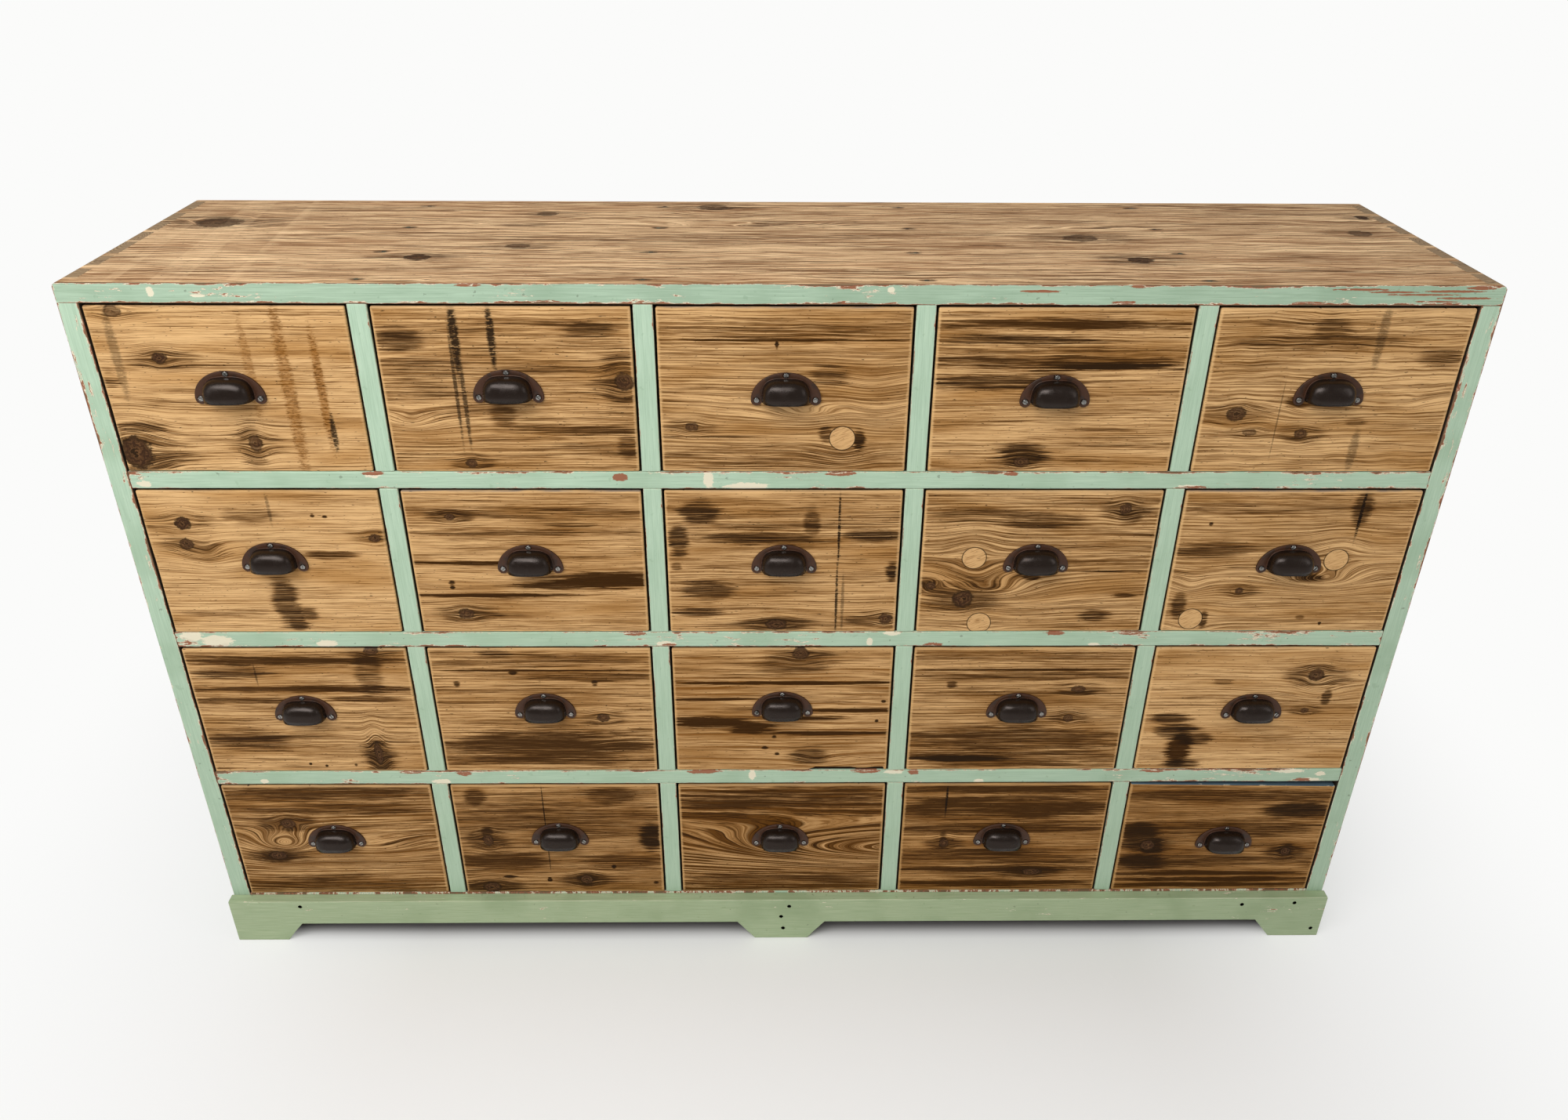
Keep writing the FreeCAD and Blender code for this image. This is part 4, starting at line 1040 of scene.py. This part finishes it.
# %% The case's upper ends, worn round by hands
def round_over(build, middle):
    """Rounds the case's upper ends on a piece with this middle."""
    for sign in (-1, 1):
        for share in (1.0, 0.7, 0.4, 0.18, 0.05):
            place = Vector((sign * (CASE_HALF - UPPER_RADIUS * share) - middle[0], 0, 0))
            bmesh.ops.bisect_plane(build, geom=build.verts[:] + build.edges[:] + build.faces[:],
                                   plane_co=place, plane_no=(1, 0, 0))
    for vertex in build.verts:
        beyond = abs(vertex.co.x + middle[0]) - (CASE_HALF - UPPER_RADIUS)
        if beyond > 0:
            rise = math.sqrt(max(UPPER_RADIUS ** 2 - beyond ** 2, 0.0))
            curve = top_high.z - UPPER_RADIUS + rise
            vertex.co.z = min(vertex.co.z, curve - middle[2])


print("upper ends are rounded by", UPPER_RADIUS)

# %% The two sides
side_middle_z = (side_low.z + side_high.z) / 2
side_half = (SIDE / 2, HALF_DEPTH, (side_high.z - side_low.z) / 2)
side_paint = painted("mint_paint_side", side_half, 2, wear=1.0, seed=15.0)
for side, sign in (("left", -1), ("right", 1)):
    low_z, high_z = side_low.z - side_middle_z, side_high.z - side_middle_z
    shoulder = tail_level - side_middle_z
    outline = [(-HALF_DEPTH, low_z), (HALF_DEPTH, low_z), (HALF_DEPTH, shoulder)]
    for start, end in reversed(TAILS[side]):
        start, end = start - HALF_DEPTH, end - HALF_DEPTH
        outline += [(end - FLARE, shoulder), (end, high_z), (start, high_z),
                    (start + FLARE, shoulder)]
    outline.append((-HALF_DEPTH, shoulder))
    board = sawn_board(outline, 0, -SIDE / 2, SIDE / 2)
    for face in board.faces:
        centre = face.calc_center_median()
        if centre.z > high_z - 0.8:
            face.material_index = 2
        elif centre.x * sign > SIDE / 2 - 1 or centre.y < PAINTED_DEPTH - HALF_DEPTH:
            face.material_index = 1
    for vert in board.verts:
        if vert.co.z > shoulder + 1 and vert.co.x * sign < 0:
            vert.co.x += sign * (SIDE - SOCKET)
    round_over(board, (sign * (CASE_HALF - SIDE / 2), CASE_MIDDLE, side_middle_z))
    piece(f"side_{side}_worn", board,
          (sign * (CASE_HALF - SIDE / 2), CASE_MIDDLE, side_middle_z),
          (inside_upright, side_paint, tail_ends), node=f"side_{side}",
          smooth=False)
print("sides made")


# %% The top and its sockets
def sockets(side, sign, narrowing):
    """The cuts for one side's tails, seen from above, from front to back."""
    edge, inside = sign * CASE_HALF, sign * (CASE_HALF - SOCKET)
    cuts = []
    for start, end in TAILS[side]:
        start, end = start - HALF_DEPTH + narrowing, end - HALF_DEPTH - narrowing
        cuts += [(edge, start), (inside, start), (inside, end), (edge, end)]
    return cuts


NICK, WORN, WORN_MIDDLE = 2, 8, 2.5


def top_outline(narrowing):
    """The top board from above, with its back corners worn and a socket for every tail."""
    return [(-CASE_HALF, -HALF_DEPTH), (CASE_HALF, -HALF_DEPTH),
            *sockets("right", 1, narrowing), (CASE_HALF, HALF_DEPTH - NICK),
            (CASE_HALF - NICK, HALF_DEPTH), (WORN - CASE_HALF, HALF_DEPTH),
            (WORN_MIDDLE - CASE_HALF, HALF_DEPTH - WORN_MIDDLE),
            (-CASE_HALF, HALF_DEPTH - WORN),
            *reversed(sockets("left", -1, narrowing))]


board = sawn_board(top_outline(0), 2, TOP / 2 - PROUD, -TOP / 2, other=top_outline(FLARE))
# The top's front edge takes the darker mint as painted shade.
top_edge_paint = painted(
    "mint_paint_top_edge", (CASE_HALF, HALF_DEPTH, TOP / 2), 0, MINT_PAINTED_SHADE, 1.4, 22.0,
    cream=marks("-712 1 4 6, -660 -3 8 2, 120 5 4 4"),
    red=marks("290 4 22 1.6, 385 -9 13 2, 402 10 12 2, 655 7 34 1.3, 690 4 30 1.2, "
              "724 1 42 1.1, 760 5 36 1.4, 776 -3 34 1.3, 740 -7 26 1, 600 -9 20 1.6, "
              "-270 -9 16 1.8, -355 10 14 2, 792 9 18 2.2"))
for face in board.faces:
    centre = face.calc_center_median()
    if centre.y < 0.5 - HALF_DEPTH:
        face.material_index = 1
    elif centre.z < 0:
        face.material_index = 2
    elif abs(centre.x) > CASE_HALF - 0.5:
        face.material_index = 1
round_over(board, (0, 0, (top_low.z + top_high.z) / 2))
piece("top_board_worn", board, (0, CASE_MIDDLE, (top_low.z + top_high.z) / 2),
      (top_pine, top_edge_paint, inside_along_x), node="top_board",
      smooth=False)
print("top made")

# %% [markdown]
# ### The back
#
# The back is closed by upright planks, each with a hair's width of gap beside it.
# Every plank is its own piece, so the random number that Blender gives each object
# can darken some of them.

# %% Back planks
PLANKS, PLANK_GAP = 14, 1.0
low, high = extent("back_planks")
plank_pitch = (high.x - low.x + PLANK_GAP) / PLANKS
for number in range(PLANKS):
    x = low.x + number * plank_pitch
    fit_board(f"back_plank_{number + 1}", Vector((x, *low.yz)),
              Vector((x + plank_pitch - PLANK_GAP, *high.yz)), (pine_upright,),
              "back_planks", 1.2, 50.0 + number, 40.0)
print("back planks:", PLANKS, "each", round(plank_pitch - PLANK_GAP), "wide")

# %% [markdown]
# ## The plinth
#
# The plinth is younger than the case. Its front is one board, cut into three feet with
# slanted shoulders, in a yellower green that was brushed on more thickly.

# %% Plinth boards
low, high = extent("plinth_front")
plinth_middle = (low + high) / 2
PLINTH_HALF, PLINTH_RISE = high.x, high.z
ARCH, FOOT, SLANT, CENTRE_FOOT = 36, 76, 25, 80
half_shape = [(-PLINTH_HALF, PLINTH_RISE), (-PLINTH_HALF, 0), (FOOT - PLINTH_HALF, 0),
              (FOOT + SLANT - PLINTH_HALF, ARCH), (-CENTRE_FOOT / 2 - SLANT, ARCH),
              (-CENTRE_FOOT / 2, 0)]
shape = half_shape + [(-x, z) for x, z in reversed(half_shape)]
shape = [(x, z - plinth_middle.z) for x, z in shape]
plinth_half = (high - low) / 2
sage = painted("sage_paint_plinth", plinth_half, 0, (SAGE, SAGE_PALE, SAGE_DEEP), 0.35, 30.0)
board = sawn_board(shape, 1, -plinth_half[1], plinth_half[1], bevel=1.6)
piece("plinth_front_worn", board, plinth_middle, (sage,), node="plinth_front",
      smooth=False)
for node, brush in (("plinth_left", 1), ("plinth_right", 1), ("plinth_rear", 0)):
    low, high = extent(node)
    seed = (high - low).x
    finish = painted(f"sage_paint_{node}", (high - low) / 2, brush,
                     (SAGE, SAGE_PALE, SAGE_DEEP), 0.4, seed)
    fit_board(node + "_worn", low, high, (finish,), node, 1.6, seed)
low, high = extent("plinth_blocks")
BLOCK, CENTRE_BLOCK = 40, 60
corners = [(x, y) for x in (low.x + BLOCK / 2, high.x - BLOCK / 2)
           for y in (low.y + BLOCK / 2, high.y - BLOCK / 2)]
for number, (x, y) in enumerate([*corners, (0, low.y + BLOCK / 2)]):
    half = (CENTRE_BLOCK if x == 0 else BLOCK) / 2
    fit_board(f"plinth_block_{number + 1}", Vector((x - half, y - BLOCK / 2, low.z)),
              Vector((x + half, y + BLOCK / 2, high.z)), (pine_upright,), "plinth_blocks",
              1.4, 60.0 + number)
for node_name in ("top_nails", "plinth_nails", "back_nails"):
    frame["nodes"][node_name].material_slots[0].material = nail_iron
print("plinth and nails made")

# %% [markdown]
# ## Drawers
#
# Each drawer is a box of thin raw boards, dovetailed at the front. The front itself is
# one waxed board whose arrises are rounded. Two of the fronts have lost wood: one is
# broken along its lower edge, and another was planed to a slant at its top.

# %% The drawer's boards
BOARD, DRAWER_LONG, FRONT_THICK = 12.0, 375.0, 20.0
PANEL_LOW, PANEL_HIGH, TAIL_DEEP, TAIL_WIDE = 10.0, 18.0, 14.0, 32.0
TAILS_PER_DRAWER, DRAWER_FLARE, TAIL_MARGIN, TAIL_SPACE = 4, 2.0, 4, 6
GROOVE, BACK_DROP, BOX_DROP = 4, 8, 6


def drawer_side(width, height, sign, build):
    """One side board, with tails that reach into the end of the front."""
    inner_y = FRONT_THICK
    pitch = (height - 2 * TAIL_MARGIN) / TAILS_PER_DRAWER
    outline = [(DRAWER_LONG, 0), (DRAWER_LONG, height), (inner_y, height)]
    for number in reversed(range(TAILS_PER_DRAWER)):
        middle = TAIL_MARGIN + (number + 0.5) * pitch
        half = min(TAIL_WIDE, pitch - TAIL_SPACE) / 2
        outline += [(inner_y, middle + half - DRAWER_FLARE),
                    (inner_y - TAIL_DEEP, middle + half),
                    (inner_y - TAIL_DEEP, middle - half),
                    (inner_y, middle - half + DRAWER_FLARE)]
    outline.append((inner_y, 0))
    outer = sign * (width / 2 - 0.05)
    return sawn_board(outline, 0, outer - sign * BOARD, outer, bevel=0.5, into=build)


def drawer_box(width, height):
    """Sides, back and bottom panel, about the front's middle line at the drawer's foot."""
    build = bmesh.new()
    for sign in (-1, 1):
        drawer_side(width, height, sign, build)
    inner = width - 2 * BOARD
    back_height = height - BACK_DROP - PANEL_HIGH
    worn_board((inner, BOARD, back_height), 1.0, 60.0, 0.2, 70.0, build,
               (0, DRAWER_LONG - BOARD / 2, PANEL_HIGH + back_height / 2))
    panel_size = (inner + 2 * GROOVE, DRAWER_LONG - FRONT_THICK, PANEL_HIGH - PANEL_LOW)
    worn_board(panel_size, 0.8, 60.0, 0.15, 71.0, build,
               (0, (DRAWER_LONG + FRONT_THICK) / 2, (PANEL_LOW + PANEL_HIGH) / 2))
    return build


# %% The fronts and their damage
# Where wood broke off a lower edge: from x to x, and how high up.
BREAKS = ((38, 143, 5.5), (96, 120, 3.5))
PLANED, SLANT_DROP, PLANED_REACH = 1.0, 5.0, 6


def broken_edge(build, height):
    """Wood lost along the lower edge, in steps, right of the middle."""
    for vert in build.verts:
        lift = 0
        for start, end, rise in BREAKS:
            if start < vert.co.x < end:
                lift = rise
        reach = vert.co.z + height / 2
        if lift and reach < lift + 1:
            vert.co.z = lift - height / 2 + min(reach, 1.5) * 0.4


def planed_top(build, height):
    """The top planed down to a slant, lower at its right end."""
    for vert in build.verts:
        drop = PLANED + SLANT_DROP * (vert.co.x + FRONT_HALF) / (2 * FRONT_HALF)
        from_top = height / 2 - vert.co.z
        if from_top < PLANED_REACH:
            vert.co.z -= drop * (1 - from_top / (2 * PLANED_REACH))


DAMAGE = {"r3_c3": broken_edge, "r4_c5": planed_top}
blue_paint = painted("blue_paint_remains", (FRONT_HALF, FRONT_THICK / 2, FRONT_HEIGHT / 2), 0,
                     (paint(46, 70, 104), paint(62, 88, 120), paint(34, 48, 70)), 0.5, 44.0)
box_mesh = None
for number, place in enumerate(places):
    low, high = extent(f"drawer_{place}")
    body = f"drawer_{place}_body"
    middle = Vector(((low.x + high.x) / 2, FRONT_Y + FRONT_THICK / 2, (low.z + high.z) / 2))
    front = worn_board((2 * FRONT_HALF, FRONT_THICK, FRONT_HEIGHT), 3.0, 12.0, 0.3,
                       seed=100.0 + number * 3)
    if place in DAMAGE:
        DAMAGE[place](front, FRONT_HEIGHT)
    bmesh.ops.recalc_face_normals(front, faces=front.faces)
    for face in front.faces:
        centre = face.calc_center_median()
        if place == "r4_c5" and face.normal.z > 0.8 and centre.z > 0:
            face.material_index = 1
        elif centre.y > 0:
            face.material_index = 2
    piece(f"front_{place}", front, middle, (front_pine[place], blue_paint, pine_along_x),
          body, f"drawer_{place}")
    foot = (middle.x, FRONT_Y, low.z)
    box = box_mesh or drawer_box(high.x - low.x, high.z - low.z - BOX_DROP)
    box_mesh = piece(f"box_{place}", box, foot, (box_pine,), body, f"drawer_{place}",
                     smooth=False).data
print("fronts and drawer boxes:", 2 * len(places))

# %% [markdown]
# ## Cup pulls
#
# Each pull is one iron casting: a thin plate with a lobe at either end and one on top,
# and a hood that swells out of it and is open below for the fingers. The hood is drawn
# as ribs, like an umbrella's: each rib is a quarter of a superellipse from the plate
# out to the lip, and the ribs get smaller towards the ends.

# %% The hood
CUP_HALF, CUP_RISE, CUP_REACH, CUP_WALL = 28.75, 27.0, 22.6, 2.2
PLATE_HALF, PLATE_RISE, PLATE, LOBE, LOBE_X = 41.55, 34.0, 2.4, 6.8, 34.75
TOP_SCREW = 30.3
RIBS, RIB_STEPS, BOXY = 36, 14, 3.2


def hood():
    """The open shell, with the plate's back at y = 0 and its lip at z = 0."""
    build = bmesh.new()
    ribs = []
    for rib in range(RIBS + 1):
        turn = math.pi * (rib / RIBS - 0.5)
        x = CUP_HALF * math.sin(turn)
        scale = max(0.0, 1 - abs(x / CUP_HALF) ** BOXY) ** (1 / BOXY)
        line = []
        for step in range(RIB_STEPS + 1):
            angle = math.pi / 2 * step / RIB_STEPS
            reach = math.sin(angle) ** (2 / BOXY) * CUP_REACH * scale
            rise = math.cos(angle) ** (2 / BOXY) * CUP_RISE * scale
            spot = Vector((x, -reach, rise))
            spot += Vector((0, -0.25, 0.1)) * noise.noise(spot * 0.12)
            line.append(build.verts.new(spot))
        ribs.append(line)
    for left, right in zip(ribs, ribs[1:]):
        for step in range(RIB_STEPS):
            build.faces.new((left[step], left[step + 1], right[step + 1], right[step]))
    bmesh.ops.remove_doubles(build, verts=build.verts, dist=0.02)
    bmesh.ops.recalc_face_normals(build, faces=build.faces)
    outward = sum((face.normal.dot(face.calc_center_median() - Vector((0, 0, 5)))
                   for face in build.faces))
    if outward < 0:
        bmesh.ops.reverse_faces(build, faces=build.faces)
    bmesh.ops.solidify(build, geom=build.faces, thickness=CUP_WALL)
    return build


# %% The plate, its screw recesses and the bead round the hood
RECESS, RECESS_DEEP, BEAD = 4.0, 1.2, 0.75
SCREW_PLACES = ((-LOBE_X, 0.0), (LOBE_X, 0.0), (0.0, TOP_SCREW))


def arc(radius, start, stop, steps, x=0.0, z=0.0):
    """Points about a place from one angle to another, with both ends."""
    angles = [start + (stop - start) * step / steps for step in range(steps + 1)]
    return [(x + radius * math.cos(angle), z + radius * math.sin(angle)) for angle in angles]


def curve_points(half, rise, power, steps):
    """The upper half of an ellipse or a boxier curve, from right to left."""
    points = []
    for step in range(steps + 1):
        angle = math.pi * step / steps
        across, up = math.cos(angle), math.sin(angle)
        points.append((math.copysign(abs(across) ** (2 / power), across) * half,
                       up ** (2 / power) * rise))
    return points


def plate():
    """The flat casting: a half ring with a lobe at each end and three recesses."""
    rim = curve_points(PLATE_HALF, PLATE_RISE, 2.0, 44)
    mouth = curve_points(CUP_HALF - 1.0, CUP_RISE - 1.0, BOXY, 30)
    left, right = (arc(LOBE, math.pi, 2 * math.pi, 12, x)[1:-1] for x in (-LOBE_X, LOBE_X))
    build = bmesh.new()
    loops = [rim + left + mouth[::-1] + right]
    loops += [arc(RECESS, 0, 2 * math.pi, 20, x, z)[:-1] for x, z in SCREW_PLACES]
    edges = []
    for loop in loops:
        verts = [build.verts.new((x, -PLATE, z)) for x, z in loop]
        edges.append([build.edges.new(pair) for pair in zip(verts, verts[1:] + verts[:1])])
    bmesh.ops.triangle_fill(build, use_beauty=True, edges=sum(edges, []))
    for loop, depth in zip(edges, (PLATE, *[RECESS_DEEP] * 3)):
        grown = bmesh.ops.extrude_edge_only(build, edges=loop)["geom"]
        verts = [part for part in grown if isinstance(part, bmesh.types.BMVert)]
        bmesh.ops.translate(build, verts=verts, vec=(0, depth, 0))
        if depth == RECESS_DEEP:
            middle = sum((vert.co for vert in verts), Vector()) / len(verts)
            for vert in verts:
                vert.co = middle.lerp(vert.co, 0.85)
            bmesh.ops.contextual_create(
                build, geom=[part for part in grown if isinstance(part, bmesh.types.BMEdge)
                             and all(end in verts for end in part.verts)])
    bmesh.ops.bevel(build, geom=[edge for loop in edges for edge in loop if edge.is_valid],
                    offset=0.5, segments=2, profile=0.5, affect="EDGES")
    return build


def bead():
    """A thin round bead where the hood leaves the plate."""
    curve = bpy.data.curves.new("bead", "CURVE")
    curve.dimensions, curve.bevel_depth, curve.bevel_resolution = "3D", BEAD, 2
    line = curve.splines.new("POLY")
    route = curve_points(CUP_HALF + 0.2, CUP_RISE + 0.2, BOXY, 36)
    line.points.add(len(route) - 1)
    for point, (x, z) in zip(line.points, route):
        point.co = (x, -PLATE, z, 1)
    holder = bpy.data.objects.new("bead", curve)
    mesh = bpy.data.meshes.new_from_object(holder)
    bpy.data.objects.remove(holder)
    return mesh


# %% The casting, the screws, and a pull on every drawer
def casting():
    """Hood, plate and bead in one mesh; slot 0 is the hood, slot 1 the plate."""
    build = hood()
    hood_faces = len(build.faces)
    for mesh in (as_mesh(plate(), "plate"), bead()):
        build.from_mesh(mesh)
    build.faces.ensure_lookup_table()
    for face in build.faces[hood_faces:]:
        face.material_index = 1
    return build


HEAD, HEAD_HIGH, SLOT, SLOT_DEEP = 3.1, 2.0, 0.9, 0.9


def screw():
    """A slotted round head: two rounded halves on a thin disc."""
    build = bmesh.new()
    disc = arc(HEAD, 0, 2 * math.pi, 24)[:-1]
    sawn_board(disc, 1, 0.0, SLOT_DEEP - HEAD_HIGH, bevel=0.1, into=build)
    reach = math.acos(SLOT / 2 / HEAD)
    for side in (-1, 1):
        half = [(side * x, z) for x, z in arc(HEAD, -reach, reach, 12)]
        sawn_board(half, 1, SLOT_DEEP - HEAD_HIGH, -HEAD_HIGH, bevel=0.7, into=build)
    return build


dice = random.Random(5)
pull_mesh = screw_mesh = None
for place in places:
    node_name, body = f"pull_{place}", f"drawer_{place}_body"
    low, high = extent(node_name)
    seat = Vector(((low.x + high.x) / 2, FRONT_Y, low.z + LOBE))
    cast = piece(f"cup_{place}", pull_mesh or casting(), seat, (cup_iron, plate_iron), body,
                 node_name)
    pull_mesh = cast.data
    for number, (x, z) in enumerate(SCREW_PLACES):
        spot = seat + Vector((x, RECESS_DEEP - PLATE, z))
        head = piece(f"screw_{place}_{number + 1}", screw_mesh or screw(), spot,
                     (screw_steel,), body, node_name,
                     turn=dice.uniform(0, math.pi))
        screw_mesh = head.data
print("pulls made:", len(places), "with", len(pull_mesh.polygons), "faces each")

# %% [markdown]
# ## The studio
#
# The cabinet stands on a wide white floor, and the camera looks down at it from above,
# so the top shows. Beyond the cabinet the floor glows plain white, which stands for a
# bright wall without a horizon line. Around the feet it is left matt to take the shadow,
# and right under the cabinet a painted shadow darkens it.

# %% Floor
FLOOR_HALF = 30.0
sheet = bmesh.new()
sheet.faces.new([sheet.verts.new((x * FLOOR_HALF, y * FLOOR_HALF, 0))
                 for x, y in ((-1, -1), (1, -1), (1, 1), (-1, 1))])
mesh = as_mesh(sheet, "studio_floor")
studio_floor = bpy.data.objects.new("studio_floor", mesh)
bpy.context.scene.collection.objects.link(studio_floor)
floor_white, tree, shader = new_material("studio_white")
FLOOR_PAINTED_SHADOW = paint(92, 86, 92)
shader.inputs["Roughness"].default_value = 0.9
shader.inputs["Specular IOR Level"].default_value = 0.1
mesh.materials.append(floor_white)

# Away from the cabinet the floor turns into plain white; near it, it keeps the shadow.
STUDIO_WHITE = paint(251, 251, 250)
SHADOW_LONG, SHADOW_DEEP, SIDEWAYS = 500.0, 205.0, 1.7
GLOW_FROM, GLOW_FULL = 60.0, 1500.0
glow = lay(tree, "ShaderNodeEmission")
glow.inputs["Color"].default_value = STUDIO_WHITE
shares, output = lay(tree, "ShaderNodeMixShader"), tree.nodes["Material Output"]
x, y, z = millimetres(tree)
seen = Wire(tree, lay(tree, "ShaderNodeLightPath").outputs["Is Camera Ray"])
# Painted shadow: the floor right under the cabinet is painted dark and never glows.
under = y.fade(-205.0, -165.0) * y.fade(215.0, 175.0) * abs(x).fade(830.0, 800.0)
feed(shader.inputs["Base Color"], mix(under * 0.8, paint(240, 239, 238), FLOOR_PAINTED_SHADOW))
aside, away = (abs(x) - SHADOW_LONG).high(0.0) * SIDEWAYS, (abs(y) - SHADOW_DEEP).high(0.0)
reach = (aside * aside + away * away).math("SQRT")
glowing = reach.fade(GLOW_FROM, GLOW_FULL).math("SQRT") * (1.0 - under)
feed(shares.inputs[0], seen * glowing)
tree.links.new(shader.outputs[0], shares.inputs[1])
tree.links.new(glow.outputs[0], shares.inputs[2])
tree.links.new(shares.outputs[0], output.inputs["Surface"])
print("floor:", 2 * FLOOR_HALF, "metres square")

# %% Camera
YAW, PITCH, ROLL = (math.radians(angle) for angle in (0.8357, 29.699, 0.3873))
forward = Vector((math.sin(YAW) * math.cos(PITCH), math.cos(YAW) * math.cos(PITCH),
                  -math.sin(PITCH)))
across = Vector((math.cos(YAW), -math.sin(YAW), 0))
upward = across.cross(forward)
across, upward = (across * math.cos(ROLL) + upward * math.sin(ROLL),
                  upward * math.cos(ROLL) - across * math.sin(ROLL))
lens = bpy.data.cameras.new("camera")
lens.lens, lens.sensor_width = 27.744, 36.0
camera = bpy.data.objects.new("camera", lens)
EYE = Vector((-18.5, -1516.2, 1416.3)) * MM
turned = Matrix((across, upward, -forward)).transposed().to_4x4()
camera.matrix_world = Matrix.Translation(EYE) @ turned
bpy.context.scene.collection.objects.link(camera)
bpy.context.scene.camera = camera
print("camera at", tuple(round(part, 2) for part in EYE), "metres")

# %% [markdown]
# The light comes from a wide panel overhead and a little in front, with a dimmer one on
# each side that draws long highlights on the pulls.

# %% Lamps and the sky
def panel(name, place, target, size, power):
    """An area lamp of this width and height in metres, facing its target."""
    lamp = bpy.data.lights.new(name, "AREA")
    lamp.shape, lamp.size, lamp.size_y, lamp.energy = "RECTANGLE", *size, power
    holder = bpy.data.objects.new(name, lamp)
    holder.location = place
    holder.rotation_euler = (Vector(target) - Vector(place)).to_track_quat("-Z", "Y").to_euler()
    bpy.context.scene.collection.objects.link(holder)
    return holder


panel("key_light", (-0.9, -1.8, 2.6), (0, 0, 0.8), (2.4, 1.4), 64)
panel("left_side", (-2.6, -1.6, 1.7), (0, 0, 0.6), (0.8, 1.8), 7)
panel("right_side", (2.6, -1.6, 1.7), (0, 0, 0.6), (0.8, 1.8), 8)

world = bpy.data.worlds.new("studio_sky")
bpy.context.scene.world = world
world.use_nodes = True
tree = world.node_tree
background = tree.nodes["Background"]
background.inputs["Color"].default_value = STUDIO_WHITE
path = lay(tree, "ShaderNodeLightPath")
seen = Wire(tree, path.outputs["Is Camera Ray"])
SKY_LIGHT = 0.38
feed(background.inputs["Strength"], seen * (1.0 - SKY_LIGHT) + SKY_LIGHT)
bpy.context.scene.view_settings.view_transform = "Standard"
print("studio ready")

# %% [markdown]
# ## The boxes as numbers
#
# The pieces must fill the same box as the CAD model; a helper turns a box into plain numbers.

# %% A box as plain numbers
def plain(box):
    """A box's corners as plain lists of numbers."""
    return [[float(part) for part in corner] for corner in box]
